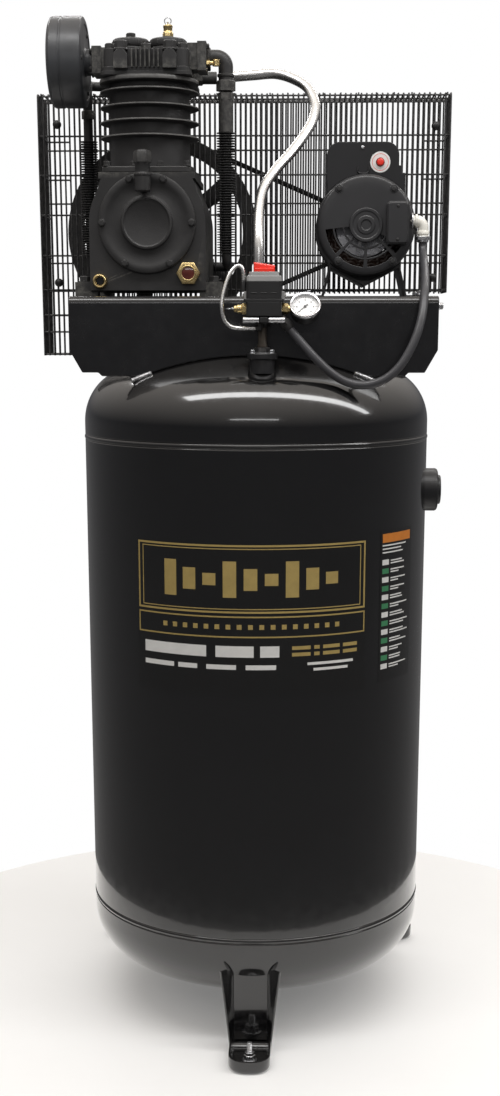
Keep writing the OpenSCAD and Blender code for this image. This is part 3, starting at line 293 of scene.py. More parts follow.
class Form:
    """Collects rings and faces into one mesh, in metres in the row frame."""

    def __init__(self):
        self.bm = bmesh.new()

    def face(self, verts, mat=0):
        f = self.bm.faces.new(verts)
        f.material_index = mat
        return f

    def skin(self, rings, mat=0, closed=True):
        """Walls between rings; a ring of one vertex is a tip."""
        for a, b in zip(rings, rings[1:]):
            n = max(len(a), len(b))
            for i in range(n if closed else n - 1):
                j = (i + 1) % n
                if len(a) == 1:
                    self.face((a[0], b[j], b[i]), mat)
                elif len(b) == 1:
                    self.face((a[i], a[j], b[0]), mat)
                else:
                    self.face((a[i], a[j], b[j], b[i]), mat)

    def ring(self, points):
        return [self.bm.verts.new(p) for p in points]

    def lathe(self, profile, origin, axis, steps=48, mat=0, start=None, loop=False, sides=None):
        """Turns (radius, along) pairs in millimetres about an axis; sides gives a polygon instead."""
        u, v, w = basis(axis)
        if start is not None:
            u = (start - start.dot(w) * w).normalized()
            v = w.cross(u)
        steps = sides or steps
        rings = []
        for r, t in profile:
            if r < 1e-6:
                rings.append(self.ring([origin + w * t * MM]))
                continue
            rings.append(self.ring([origin + w * t * MM + (math.cos(a) * u + math.sin(a) * v) * r * MM
                                    for a in (2 * math.pi * k / steps for k in range(steps))]))
        self.skin(rings + ([rings[0]] if loop else []), mat)
        if not loop:
            for ring in (rings[0], rings[-1]):
                if len(ring) > 2:
                    self.face(ring, mat)
        return rings

    def sweep(self, route, radius, sides=12, mat=0, closed=False, profile=None, up=None):
        """A tube of a radius in millimetres along points; profile gives another cross-section."""
        n = len(route)
        section = profile or [(radius * math.cos(2 * math.pi * k / sides),
                               radius * math.sin(2 * math.pi * k / sides))
                              for k in range(sides)]
        rings, u = [], up
        for i in range(n):
            before = route[(i - 1) % n] if closed or i else route[i]
            after = route[(i + 1) % n] if closed or i < n - 1 else route[i]
            w = (after - before).normalized()
            u = w.orthogonal().normalized() if u is None else (u - u.dot(w) * w).normalized()
            v = w.cross(u)
            rings.append(self.ring([route[i] + (a * u + b * v) * MM for a, b in section]))
        self.skin(rings + ([rings[0]] if closed else []), mat)
        if not closed:
            self.face(rings[0], mat)
            self.face(rings[-1], mat)

    def prism(self, outline, place, depth, mat=0):
        """An outline of points in metres, pushed along the vector depth."""
        a = self.ring([place(p) for p in outline])
        b = self.ring([place(p) + depth for p in outline])
        self.skin([a, b], mat)
        self.face(a, mat)
        self.face(b, mat)

    def bar(self, lo, hi, mat=0):
        """A block between two corners given in millimetres about the tank's axis."""
        (x0, y0, z0), (x1, y1, z1) = lo, hi
        self.prism([(x0, z0), (x1, z0), (x1, z1), (x0, z1)], lambda p: at(p[0], y0, p[1]),
                   Y * (y1 - y0) * MM, mat)

    def hexagon(self, origin, axis, flats, tall, mat=0, start=None, crown=0.12):
        """A hexagon head with its corners turned off on the top."""
        r = flats / math.sqrt(3)
        self.lathe([(r, 0), (r, tall * (1 - crown)), (r * 0.87, tall), (r * 0.80, tall)], origin, axis,
                   mat=mat,
                   start=start, sides=6)

    def bolt(self, origin, axis, flats, tall, washer=True, mat=0, turn=0.0):
        u, v, w = basis(axis)
        start = math.cos(turn) * u + math.sin(turn) * v
        base = 0.0
        if washer:
            r = flats * 0.66
            self.lathe([(r * 0.97, 0), (r, 0.3), (r, 1.5), (r * 0.96, 1.9)], origin, axis, 28, mat)
            base = 1.8
        self.hexagon(origin + w * base * MM, axis, flats, tall, mat, start)
        self.lathe([(flats * 0.40, tall - 0.2), (flats * 0.39, tall + 0.35), (0, tall + 0.5)],
                   origin + w * base * MM, axis, 24, mat)

    def torus(self, centre, axis, big, small, steps=40, sides=12, mat=0):
        u, v, w = basis(axis)
        route = [centre + (math.cos(a) * u + math.sin(a) * v) * big * MM
                 for a in (2 * math.pi * k / steps for k in range(steps))]
        self.sweep(route, small, sides, mat, closed=True, up=w)


def piece(form, name, slot, body="root", nodes=(), mats=None, bevel=0.0, segments=2, angle=35):
    """Makes one object of a Form with the materials given (its slot's material when none are), on its body,
    hiding the CAD nodes it stands for.
    """
    bm = form.bm
    bmesh.ops.recalc_face_normals(bm, faces=bm.faces)
    mesh = bpy.data.meshes.new(name)
    bm.to_mesh(mesh)
    bm.free()
    return dress(mesh, name, slot, body, nodes, mats, bevel, segments, angle)


def dress(mesh, name, slot, body, nodes, mats, bevel, segments, angle):
    mesh.shade_smooth()
    mesh.set_sharp_from_angle(angle=math.radians(angle))
    for m in mats or [MATS[slot]]:
        mesh.materials.append(m)
    ob = bpy.data.objects.new(name, mesh)
    SCENE.collection.objects.link(ob)
    if bevel:
        b = ob.modifiers.new("edges", "BEVEL")
        b.limit_method = "ANGLE"
        b.angle_limit = math.radians(angle)
        b.width = bevel * MM
        b.segments = segments
        b.use_clamp_overlap = True
        b.harden_normals = False
    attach(ob, body)
    if nodes:
        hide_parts(*nodes)
    return ob


def refined(node, width, segments=2, angle=35, mats=None):
    """The CAD node's own shape with its edges rounded to a width in millimetres."""
    bm = bmesh.new()
    bm.from_mesh(NODES[node].data)
    bmesh.ops.remove_doubles(bm, verts=bm.verts, dist=2e-6)
    bmesh.ops.dissolve_limit(bm, angle_limit=math.radians(0.6), verts=bm.verts, edges=bm.edges)
    mesh = bpy.data.meshes.new(node)
    bm.to_mesh(mesh)
    bm.free()
    slot = SLOT_OF[node]
    return dress(mesh, node + "_finished", slot, BODY_OF[node], [node], mats, width, segments, angle)


def smooth_route(points, steps=8):
    """A Catmull-Rom line through points in metres."""
    n, out = len(points), []
    for i in range(n - 1):
        a, b, c, d = points[max(i - 1, 0)], points[i], points[i + 1], points[min(i + 2, n - 1)]
        for k in range(steps):
            t = k / steps
            out.append(0.5 * (2 * b + (c - a) * t + (2 * a - 5 * b + 4 * c - d) * t * t
                              + (3 * b - a - 3 * c + d) * t ** 3))
    return out + [points[-1]]


def rounded(corners, radius, steps=8):
    """A route of straight runs with round bends of a radius in metres at its corners."""
    out = [corners[0]]
    for a, b, c in zip(corners, corners[1:], corners[2:]):
        p, q = (a - b).normalized(), (c - b).normalized()
        half = p.angle(q) / 2
        back = min(radius / math.tan(half), (a - b).length * 0.49, (c - b).length * 0.49)
        r = back * math.tan(half)
        middle = b + (p + q).normalized() * (r / math.sin(half))
        start, end = b + p * back, b + q * back
        s, e = start - middle, end - middle
        axis = s.cross(e).normalized()
        turn = s.angle(e)
        out += [middle + Matrix.Rotation(turn * k / steps, 3, axis) @ s for k in range(steps + 1)]
    return out + [corners[-1]]


def round_rect(cx, cz, w, h, r, steps=6):
    pts = []
    for sx, sz, a0 in ((1, 1, 0), (-1, 1, 90), (-1, -1, 180), (1, -1, 270)):
        for k in range(steps + 1):
            c, s = polar(a0 + 90 * k / steps)
            pts.append((cx + sx * (w / 2 - r) + r * c, cz + sz * (h / 2 - r) + r * s))
    return pts


# ---------------------------------------------------------------- conduit from the motor to the switch

CONDUIT = [(285, -70, 1383), (285, -72, 1366), (286, -96, 1345), (285, -135, 1327), (283, -172, 1310),
           (280, -203, 1289), (276, -223, 1260), (268, -236, 1230), (255, -243, 1200), (237, -246, 1173),
           (213, -245, 1154), (184, -242, 1146), (154, -243, 1151), (127, -245, 1167), (101, -245, 1191),
           (78, -240, 1216), (60, -234, 1237)]


def make_conduit():
    path = smooth_route([at(*p) for p in CONDUIT], 6)
    length = sum((b - a).length for a, b in zip(path, path[1:]))
    form = Form()
    form.sweep(path, 7.0, 16, up=Y)
    ob = piece(form, "conduit_hose", "conduit_jacket", nodes=["conduit"], angle=60)
    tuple(path[0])


make_conduit()


def make_conduit_ends():
    """The moulded elbow at the motor with its clamp nut, and the straight connector under the switch."""
    form = Form()
    start, corner, end = at(262, -70, 1413), at(285, -70, 1413), at(285, -70, 1384)
    bend = rounded([start, corner, end], 0.014, 10)
    form.sweep(bend, 9.3, 24, up=Y)
    form.lathe([(9.6, 0), (11.2, 0.6), (11.2, 4.4), (9.6, 5)], at(271, -70, 1413), X, 28)
    form.lathe([(9.5, 0), (10.6, 0.8), (10.6, 5), (9.8, 6)], at(285, -70, 1391), Z, 28)
    piece(form, "conduit_elbow", "ivory_plastic", nodes=["conduit_connectors"], angle=45)
    form = Form()
    form.hexagon(at(285, -70, 1382), Z, 23, 6)
    form.lathe([(8.0, -4), (9.6, -3.2), (9.6, 0), (8.4, 0)], at(285, -70, 1382), Z, 28)
    form.lathe([(13.5, 0), (14.6, 0.8), (14.6, 3), (12, 3)], at(264.5, -70, 1413), X, 32)
    way = Vector((-math.sin(math.radians(40)), 0, math.cos(math.radians(40))))
    low = at(60, -234, 1237)
    form.hexagon(low + way * 5 * MM, way, 18, 9, mat=1)
    form.lathe([(7.6, -3), (9.0, -2), (9.4, 0), (9.4, 6)], low, way, 28, mat=1)
    form.lathe([(8.6, 13), (8.6, 20), (7.6, 21)], low, way, 28, mat=1)
    piece(form, "conduit_nuts", "zinc_steel", mats=[MATS["zinc_steel"], MATS["cast_paint"]], bevel=0.3)


make_conduit_ends()


# ---------------------------------------------------------------- tank

TANK_R, WELD_LOW, WELD_HIGH = 305.0, 202.0, 1050.0
FLANGE, RISE, KNUCKLE = 26.0, 146.0, 95.0
CROWN = ((TANK_R - KNUCKLE) ** 2 + RISE ** 2 - KNUCKLE ** 2) / (2 * (RISE - KNUCKLE))
CROWN_Z = WELD_HIGH + FLANGE + RISE - CROWN


def head_profile(steps=26):
    """(radius, height over the tangent line) from the flange to the middle of a dished head."""
    lean = math.degrees(math.atan2(CROWN - RISE, TANK_R - KNUCKLE))
    out = []
    for k in range(steps + 1):
        c, s = polar(lean * k / steps)
        out.append((TANK_R - KNUCKLE + KNUCKLE * c, KNUCKLE * s))
    edge = math.degrees(math.asin(out[-1][0] / CROWN))
    for k in range(1, steps * 2 + 1):
        c, s = polar(edge * (1 - k / (steps * 2)))
        out.append((CROWN * s, RISE - CROWN + CROWN * c))
    return out


def bead(z, proud=1.1, half=3.4):
    """A girth weld: a low rounded band with a fine groove at each toe."""
    out = [(TANK_R, z - half - 3.2), (TANK_R, z - half - 1.8), (TANK_R - 1.3, z - half - 0.7)]
    out += [(TANK_R + proud * math.cos(math.pi / 2 * a),
             z + half * a) for a in (k / 5 for k in range(-5, 6))]
    return out + [(TANK_R - 1.3, z + half + 0.7), (TANK_R, z + half + 1.8), (TANK_R, z + half + 3.2)]


def dome_height(x, y):
    return CROWN_Z + math.sqrt(max(0.0, CROWN * CROWN - x * x - y * y))


def make_tank():
    dome = head_profile()
    profile = [(r, WELD_LOW - FLANGE - h) for r, h in reversed(dome)]
    profile += bead(WELD_LOW)
    profile += [(TANK_R, WELD_LOW + (WELD_HIGH - WELD_LOW) * k / 8) for k in range(1, 8)]
    profile += bead(WELD_HIGH)
    profile += [(r, WELD_HIGH + FLANGE + h) for r, h in dome]
    form = Form()
    form.lathe(profile, at(0, 0, 0), Z, 256)
    piece(form, "tank_body", "tank_paint", nodes=["tank_shell", "tank_top_head", "tank_bottom_head"],
          angle=50)
    form = Form()
    form.lathe([(38, -16), (38, 17), (36.5, 20), (34, 21.3), (26, 21.3)], at(TANK_R, 0, 953), X, 64)
    form.lathe([(26, 20), (26, 25.5), (24.5, 27)], at(TANK_R, 0, 953), X, 64)
    form.hexagon(at(TANK_R + 21, 0, 953), X, 41, 6, start=Z)
    piece(form, "outlet_bung", "frame_paint", nodes=["tank_side_bung"], bevel=0.8)
    # a black ring and disc inside the bore: painted shade of the bung's hole
    form = Form()
    form.lathe([(12.6, 27.05), (11.75, 26.4), (11.75, 27.0), (12.2, 27.06)], at(TANK_R, 0, 953), X, 40,
               loop=True)
    form.lathe([(11.7, 26.9), (0, 26.9)], at(TANK_R, 0, 953), X, 40)
    piece(form, "outlet_bore_shadow", "frame_paint", mats=[LABEL_BLACK_AND_SHADE])


def curved_patch(form, a0, a1, z0, z1, r, mat=0, thick=0.25, step=1.5):
    """A thin curved film on the shell between two azimuths, 0 at the front and growing to the right."""
    n = max(1, int(abs(a1 - a0) / step))
    def at_angle(a, z, radius):
        return at(radius * math.sin(math.radians(a)), -radius * math.cos(math.radians(a)), z)
    grid = []
    for radius in (r, r + thick):
        grid.append([[form.bm.verts.new(at_angle(a0 + (a1 - a0) * i / n, z, radius)) for i in range(n + 1)]
                     for z in (z0, z1)])
    (b0, b1), (t0, t1) = grid
    for i in range(n):
        form.face((t0[i], t0[i + 1], t1[i + 1], t1[i]), mat)
        form.face((b0[i + 1], b0[i], b1[i], b1[i + 1]), mat)
        form.face((b0[i], b0[i + 1], t0[i + 1], t0[i]), mat)
        form.face((b1[i + 1], b1[i], t1[i], t1[i + 1]), mat)
    form.face((b0[0], t0[0], t1[0], b1[0]), mat)
    form.face((t0[n], b0[n], b1[n], t1[n]), mat)


def frame_lines(form, a0, a1, z0, z1, line, r, mat):
    """A rectangular outline of one line width in millimetres."""
    wide = math.degrees(line / TANK_R)
    curved_patch(form, a0, a1, z0, z0 + line, r, mat)
    curved_patch(form, a0, a1, z1 - line, z1, r, mat)
    curved_patch(form, a0, a0 + wide, z0 + line, z1 - line, r, mat)
    curved_patch(form, a1 - wide, a1, z0 + line, z1 - line, r, mat)


def make_labels():
    """The front label and the side label, with plain bars where the real ones carry words."""
    film, ink = TANK_R + 0.15, TANK_R + 0.42
    form = Form()
    curved_patch(form, -39, 39, 638, 895, film)
    curved_patch(form, 45, 63, 645, 905, film)
    piece(form, "label_films", "tank_paint", mats=[LABEL_BLACK_AND_SHADE])
    form = Form()
    frame_lines(form, -38.4, 38.4, 779, 892, 3.2, ink, 0)
    frame_lines(form, -36.6, 36.6, 785, 886, 1.6, ink, 0)
    for k in range(9):
        a = -26 + 6.5 * k
        curved_patch(form, a - 2.1, a + 2.1, 835 - (30, 18, 10)[k % 3], 835 + (30, 18, 10)[k % 3], ink, 0)
    frame_lines(form, -38.4, 38.4, 738, 774, 2.4, ink, 0)
    for k in range(17):
        a = -28 + 3.5 * k
        curved_patch(form, a - 0.75, a + 0.75, 752, 760, ink, 0, step=0.7)
    for a0, a1, z0, z1 in ((-36, -14, 705, 724), (-11, 1, 705, 724), (3, 9, 705, 724)):
        curved_patch(form, a0, a1, z0, z1, ink, 1)
    for z in (706, 717):
        for a0, a1 in ((13, 19), (20.2, 22), (23.2, 29), (30.2, 35.5)):
            curved_patch(form, a0, a1, z, z + 6, ink, 0)
    for a0, a1 in ((-36, -25), (-23.5, -17), (-14, -4.5), (-1.5, 8)):
        curved_patch(form, a0, a1, 684, 692, ink, 1)
    for a0, a1, z in ((18, 34, 690), (20, 32, 680)):
        curved_patch(form, a0, a1, z, z + 4.5, ink, 1)
    curved_patch(form, 46, 61.8, 884, 899, ink, 2)
    for z in (866, 872, 878):
        curved_patch(form, 46, 46 + RANDOM.uniform(9, 15), z, z + 2.2, ink, 1)
    for k in range(13):
        z = 846 - 15 * k
        curved_patch(form, 46, 49.2, z, z + 9, ink, (1, 3)[k % 2])
        curved_patch(form, 50.2, 50.2 + RANDOM.uniform(6, 11), z + 5.4, z + 7.6, ink, 1)
        curved_patch(form, 50.2, 50.2 + RANDOM.uniform(4, 11), z + 1.0, z + 3.2, ink, 1)
    piece(form, "label_inks", "tank_paint", mats=[GOLD_INK, WHITE_INK, ORANGE_INK, GREEN_INK])


make_tank()
make_labels()


# ---------------------------------------------------------------- feet

def head_under(r):
    """Height of the bottom head's outside at a distance from the axis, or the foot's top beyond it."""
    k = (r - TANK_R + KNUCKLE) / KNUCKLE
    return 152.0 if k >= 1 else min(152.0, WELD_LOW - FLANGE - KNUCKLE * math.sqrt(1 - max(0.0,
                                                                                           k) ** 2) + 1.0)


def foot_ring(form, place, f):
    """The folded web and its two splayed flanges at a fraction f of the way up."""
    def half(z):
        return 36.0 + 17.0 * (z / 152.0) ** 1.1
    left = [(298 - 6 * math.cos(math.radians(k)), -(28 + 6 * math.sin(math.radians(k)))) for k in range(0,
                                                                                                        91,
                                                                                                        15)]
    inner = [(298 - 2 * math.cos(math.radians(k)), -(28 + 2 * math.sin(math.radians(k)))) for k in range(0,
                                                                                                         91,
                                                                                                         15)]
    points = []
    def put(reach, side, spread):
        top = head_under(math.hypot(reach, side + math.copysign(spread, side)))
        z = 2.0 + (top - 2.0) * f
        w = (half(z) - 36.0) * spread
        points.append(place(reach, side + math.copysign(w, side), z))
    for reach, side in left:
        put(reach, side, 0.0)
    put(306, -35, 0.45)
    put(315, -36, 1.0)
    put(317, -35, 1.0)
    put(317, -33, 1.0)
    put(315, -32, 1.0)
    put(306, -31, 0.45)
    for reach, side in reversed(inner):
        put(reach, side, 0.0)
    for reach, side in inner:
        put(reach, -side, 0.0)
    put(306, 31, 0.45)
    put(315, 32, 1.0)
    put(317, 33, 1.0)
    put(317, 35, 1.0)
    put(315, 36, 1.0)
    put(306, 35, 0.45)
    for reach, side in reversed(left):
        put(reach, -side, 0.0)
    return form.ring(points)


def one_foot(form, azimuth):
    """A pressed channel: floor pad with a round upturned lip, and a web with splayed flanges."""
    c, s = polar(azimuth)

    def place(reach, side, z):
        return at(reach * c - side * s, reach * s + side * c, z)

    rings = [foot_ring(form, place, k / 14) for k in range(15)]
    form.skin(rings)
    form.face(rings[0])
    form.face(rings[-1])
    plan = [(296, -36), (320, -36), (345, -36), (370, -36)]
    plan += [(370 + 30 * math.sin(math.radians(a)) , -6 - 30 * math.cos(math.radians(a))) for a in range(10,
                                                                                                         91,
                                                                                                         10)]
    plan += [(370 + 30 * math.cos(math.radians(a)), 6 + 30 * math.sin(math.radians(a))) for a in range(0,
                                                                                                       91,
                                                                                                       10)]
    plan += [(345, 36), (320, 36), (296, 36)]
    lip = [(0.3, 24.2), (0, 23.5), (0, 8), (0.5, 5.2), (1.8, 2.6), (4.0, 0.8), (7.5, 0), (7.5, 4),
           (6.0, 4.5),
           (4.7, 5.8), (4.0, 8), (4.0, 23.5), (3.7, 24.2), (2.0, 24.8)]
    rings = []
    for i, (reach, side) in enumerate(plan):
        a, b = plan[max(i - 1, 0)], plan[min(i + 1, len(plan) - 1)]
        dx, dy = b[0] - a[0], b[1] - a[1]
        size = math.hypot(dx, dy)
        nx, ny = dy / size, -dx / size
        rings.append(form.ring([place(reach - nx * d, side - ny * d, z) for d, z in lip]))
    form.skin(rings)
    form.face(rings[0])
    form.face(rings[-1])
    floor_plan = [(296, -29)] + [(370 + 23 * math.sin(math.radians(a)), -6 - 23 * math.cos(math.radians(a)))
                                 for a in range(0, 91, 10)]
    floor_plan += [(370 + 23 * math.cos(math.radians(a)),
                    6 + 23 * math.sin(math.radians(a))) for a in range(0, 91, 10)]
    floor_plan += [(296, 29)]
    hole = [(350 + 7 * math.cos(math.radians(a)), 7 * math.sin(math.radians(a))) for a in range(0, 360, 12)]
    loops = []
    for z in (0.02, 4.0):
        edges, pair = [], []
        for outline in (floor_plan, hole):
            ring = form.ring([place(r, w, z) for r, w in outline])
            edges += [form.bm.edges.new((ring[i], ring[(i + 1) % len(ring)])) for i in range(len(ring))]
            pair.append(ring)
        bmesh.ops.triangle_fill(form.bm, use_beauty=True, edges=edges)
        loops.append(pair)
    form.skin([loops[0][1], loops[1][1]])
    form.skin([loops[0][0], loops[1][0]])
    bend = [(295, 4), (295, 16), (296, 16)] + [(296 + 9 - 9 * math.cos(math.radians(a)),
                                                13 - 9 * math.sin(math.radians(a)))
                                               for a in range(0, 91, 15)]
    form.prism(bend, lambda q: place(q[0], -31, q[1]), place(0, 62, 0) - place(0, 0, 0))


def make_feet():
    form = Form()
    for azimuth in (270, 40, 140):
        one_foot(form, azimuth)
    piece(form, "pressed_feet", "tank_paint", nodes=["feet"], angle=40)


make_feet()


# ---------------------------------------------------------------- platform

def make_platform():
    refined("platform", 1.8, segments=3, mats=[DECK_PAINT])
    form = Form()
    # weld beads where the front apron meets the dome, and at the same places behind
    for face_y, way in ((-185, -1), (100, 1)):
        for side in (-1, 1):
            points = []
            for k in range(15):
                x = side * (168 + 38 * k / 14)
                z = CROWN_Z + math.sqrt(CROWN ** 2 - x * x - (abs(face_y) - 1) ** 2)
                points.append(at(x, face_y + way * 1.0, z + 1.0))
            for k in range(12):
                p = points[k + 1]
                along = (points[k + 2] - points[k]).normalized()
                r = 4.7 + RANDOM.uniform(-0.35, 0.35)
                form.lathe([(0, -3.2), (r * 0.6, -2.4), (r, 0), (r * 0.6, 2.4), (0, 3.2)], p, along, 14)
    piece(form, "platform_welds", "zinc_steel", mats=[WELD_METAL], angle=50)


make_platform()


# ---------------------------------------------------------------- belt guard

PUMP_X, MOTOR_X, CRANK_Z = -177.0, 188.0, 1406.0
GUARD_L, GUARD_R, GUARD_TOP = -398.0, 345.0, 1646.0
FRONT_Y, REAR_Y, WIRE = 120.5, 216.4, 1.6


def guard_foot(x):
    return 1187.0 if x < -215 else 1224.0 if x < 20 else 1300.0


def clear_spans(lo, hi, middle, off, holes):
    """The parts of a wire from lo to hi left when it passes off a hole's middle."""
    spans = [(lo, hi)]
    for centre, radius in holes:
        gap = radius ** 2 - off(centre) ** 2
        if gap <= 0:
            continue
        a, b = middle(centre) - math.sqrt(gap), middle(centre) + math.sqrt(gap)
        spans = [part for s, e in spans for part in ((s, min(e, a)),
                                                     (max(s, b), e)) if part[1] - part[0] > 1]
    return spans


def make_guard():
    """Welded wire mesh: a front tray bent back over its sides and top, and a flat rear panel."""
    holes = (((PUMP_X, CRANK_Z), 59.0), ((MOTOR_X, CRANK_Z), 43.0))
    form = Form()
    pitch, top = 9.4, GUARD_TOP - WIRE
    for k in range(int((GUARD_R - GUARD_L) / pitch) + 1):
        x = GUARD_L + WIRE + k * (GUARD_R - GUARD_L - 2 * WIRE) / int((GUARD_R - GUARD_L) / pitch)
        spans = clear_spans(guard_foot(x), top, lambda c: c[1], lambda c: x - c[0], holes)
        for lo, hi in spans[:-1]:
            form.sweep([at(x, FRONT_Y, lo), at(x, FRONT_Y, hi)], WIRE, 8)
        lo = spans[-1][0]
        form.sweep(rounded([at(x, FRONT_Y, lo), at(x, FRONT_Y, top), at(x, REAR_Y - 4, top)], 0.004, 3),
                   WIRE, 8, up=X)
        back = x + pitch / 2
        if back < GUARD_R - WIRE:
            form.sweep([at(back, REAR_Y, guard_foot(back)), at(back, REAR_Y, top)], WIRE, 8)
    for side, foot in ((GUARD_L + WIRE, 1187), (GUARD_R - WIRE, 1300)):
        for k in range(1, 10):
            y = FRONT_Y + k * pitch
            form.sweep([at(side, y, foot), at(side, y, top)], WIRE, 8)
        form.sweep([at(side, REAR_Y, foot), at(side, REAR_Y, top)], WIRE, 8)
    inner = 2 * WIRE
    for z in (1573.6, 1506.3, 1437.0, 1365.8, 1305.0):
        y = FRONT_Y + inner * 0.9
        left, right = GUARD_L + inner, GUARD_R - inner
        back = 40.0 if z > 1500 else 0.0
        starts = [at(left + back, REAR_Y - 3, z)] if back else []
        ends = [at(right - back, REAR_Y - 3, z)] if back else []
        spans = clear_spans(left, right, lambda c: c[0], lambda c: z - c[1], holes)
        for n, (lo, hi) in enumerate(spans):
            route = [at(lo, y, z), at(hi, y, z)]
            if n == 0:
                route = starts + [at(left, REAR_Y - 3, z)] + route
            if n == len(spans) - 1:
                route = route + [at(right, REAR_Y - 3, z)] + ends
            form.sweep(rounded(route, 0.004, 3), WIRE, 8, up=Z)
    for z in (1558.3, 1463.6, 1355.9, 1305.0, GUARD_TOP - WIRE):
        form.sweep([at(GUARD_L, REAR_Y - inner * 0.9, z), at(GUARD_R, REAR_Y - inner * 0.9, z)], WIRE, 8)
    for y in (FRONT_Y + inner * 0.9, 168, REAR_Y - 8):
        form.sweep([at(GUARD_L, y, top - inner * 0.9), at(GUARD_R, y, top - inner * 0.9)], WIRE, 8)
    for y in (FRONT_Y + inner * 0.9, REAR_Y - inner * 0.9):
        for z in (1229.7, 1260.0):
            form.sweep([at(GUARD_L, y, z), at(20, y, z)], WIRE, 8)
        form.sweep([at(GUARD_L, y, 1189), at(-215, y, 1189)], WIRE, 8)
        form.sweep([at(-215, y, 1187), at(-215, y, 1232)], WIRE, 8)
        form.sweep([at(20, y, 1224), at(20, y, 1307)], WIRE, 8)
    for z in (1189, 1229.7, 1260):
        form.sweep([at(GUARD_L + inner, FRONT_Y, z), at(GUARD_L + inner, REAR_Y, z)], WIRE, 8)
    for (x, z), r in holes:
        form.torus(at(x, FRONT_Y, z), Y, r, WIRE, 64, 8)
    for k in range(24):
        x = GUARD_L + 8 + k * (GUARD_R - GUARD_L - 16) / 23
        form.bar((x - 1.2, FRONT_Y - 2.2, top - 3.6), (x + 1.2, FRONT_Y + 4.4, top + 1.2))
    piece(form, "guard_mesh", "frame_paint", nodes=["guard_front", "guard_rear", "guard_wrap"], angle=60)
    form = Form()
    for x, z in ((-362, 1593), (-366, 1318), (317, 1588), (318, 1326)):
        form.lathe([(3.2, -14), (3.2, -3), (6.6, -2.4), (7.5, -1), (7.5, 3.5), (6.6, 6.2), (4.4, 8),
                    (0, 8.6)],
                   at(x, FRONT_Y - 3.2, z), -Y, 32)
    piece(form, "guard_push_knobs", "black_plastic", nodes=["guard_knobs"], angle=50)


make_guard()


# ---------------------------------------------------------------- pump

CASE_FRONT, CASE_TOP, BLOCK_TOP, PLATE_TOP, HEAD_TOP, CAP_TOP = -140.0, 1487.0, 1639.0, 1645.0, 1697.0, 1711.0
HEAD_LOW = HEAD_TOP - 17.0
LOW_Y, HIGH_Y, HEAD_Y, PORT_Z = -68.0, 44.0, -25.0, 1675.0
INTAKE_X, OUTLET_X = PUMP_X - 98, PUMP_X + 97
CAP_L, CAP_R = PUMP_X - 3 - 31.5, PUMP_X - 3 + 31.5
FILTER_L, FILTER_R, FILTER_RADIUS = PUMP_X - 171, PUMP_X - 111, 73.0


def plate(form, cx, cy, w, d, r, z0, z1):
    """A flat slab with round corners lying level."""
    form.prism(round_rect(cx, cy, w, d, r), lambda p: at(p[0], p[1], z0), Z * (z1 - z0) * MM)


def make_crankcase():
    refined("crankcase", 3.0, segments=3)
    form = Form()
    form.lathe([(74, -2), (81, -0.4), (81, 5.4), (80.2, 7.2), (78.4, 8.2), (69, 8.2), (66, 6.4), (46, 6.2),
                (43.4, 7.6), (42.2, 11.4), (40.8, 12.2), (38.6, 12.2), (37.4, 10.9), (35.5, 10.0),
                (0, 9.6)],
               at(PUMP_X, CASE_FRONT, CRANK_Z), -Y, 128)
    piece(form, "crankcase_front", "cast_paint", nodes=["crankcase_cover"], angle=32)
    form = Form()
    form.lathe([(82.5, -1.5), (82.5, -0.2), (74, -0.2), (74, -1.5)], at(PUMP_X, CASE_FRONT, CRANK_Z), -Y,
               96, loop=True)
    piece(form, "cover_gasket", "belt_rubber")
    form = Form()
    x, y, z = PUMP_X - 4, CASE_FRONT - 26, CRANK_Z + 48
    form.lathe([(0, 0), (11.8, 0.4), (13, 1.6), (13, 24), (14.0, 25), (14.0, 28), (12, 29.5), (12, 43),
                (12.6, 44), (12.6, 46)], at(x, y, z), Z, 40)
    form.lathe([(6.5, -2), (6.5, 14), (8.2, 19), (9.5, 26)], at(x, y - 0.0, z + 8), Y, 32)
    form.hexagon(at(x, y, z + 45), Z, 26, 19, start=X, crown=0.16)
    form.lathe([(9, 18.5), (8.4, 20.4), (5.0, 20.6), (4.4, 19.4), (0, 19.4)], at(x, y, z + 45), Z, 32)
    piece(form, "oil_filler", "cast_paint", nodes=["oil_filler_cap"], bevel=0.7)
    form = Form()
    p = at(PUMP_X - 80, CASE_FRONT, 1313)
    form.lathe([(12, 0), (12, 8), (11, 11), (9.6, 12), (8.2, 11.6), (7.6, 10), (7.6, 6)], p, -Y, 40)
    # a black hexagon at the bottom of the plug's recess: painted shade of its hex socket
    form.lathe([(7.6, 6.2), (6.4, 6.2), (0, 6.0)], p, -Y, 6, mat=1)
    piece(form, "drain_plug", "brass", nodes=["oil_drain_plug"], mats=[MATS["brass"], LABEL_BLACK_AND_SHADE],
          angle=40)
    form = Form()
    p = at(PUMP_X + 68, CASE_FRONT, 1325.5)
    form.hexagon(p, -Y, 34.6, 10.6, start=X, crown=0.14)
    form.lathe([(13.4, 10.4), (13.4, 12.0), (12.6, 12.8), (11.0, 12.8), (10.3, 12.2), (10.3, 10.4)], p, -Y,
               40, loop=True)
    piece(form, "sight_glass", "brass", nodes=["sight_glass_bezel"], bevel=0.5)
    form = Form()
    form.lathe([(10.3, 10.5), (10.3, 11.2), (7, 11.8), (0, 12.0)], p, -Y, 40)
    piece(form, "sight_glass_window", "red_glass", nodes=["sight_glass_lens"], angle=60)


def fin_profile(core, rim, fins, bottom, top, thick=3.6):
    out = [(core, bottom)]
    for z in fins:
        out += [(core, z - 2.5), (core + 2.5, z - 0.2), (rim - 1.2, z + 0.5), (rim, z + 1.2),
                (rim, z + thick - 0.8),
                (rim - 1.2, z + thick), (core + 2.5, z + thick + 0.8), (core, z + thick + 3)]
    return out + [(core, top)]


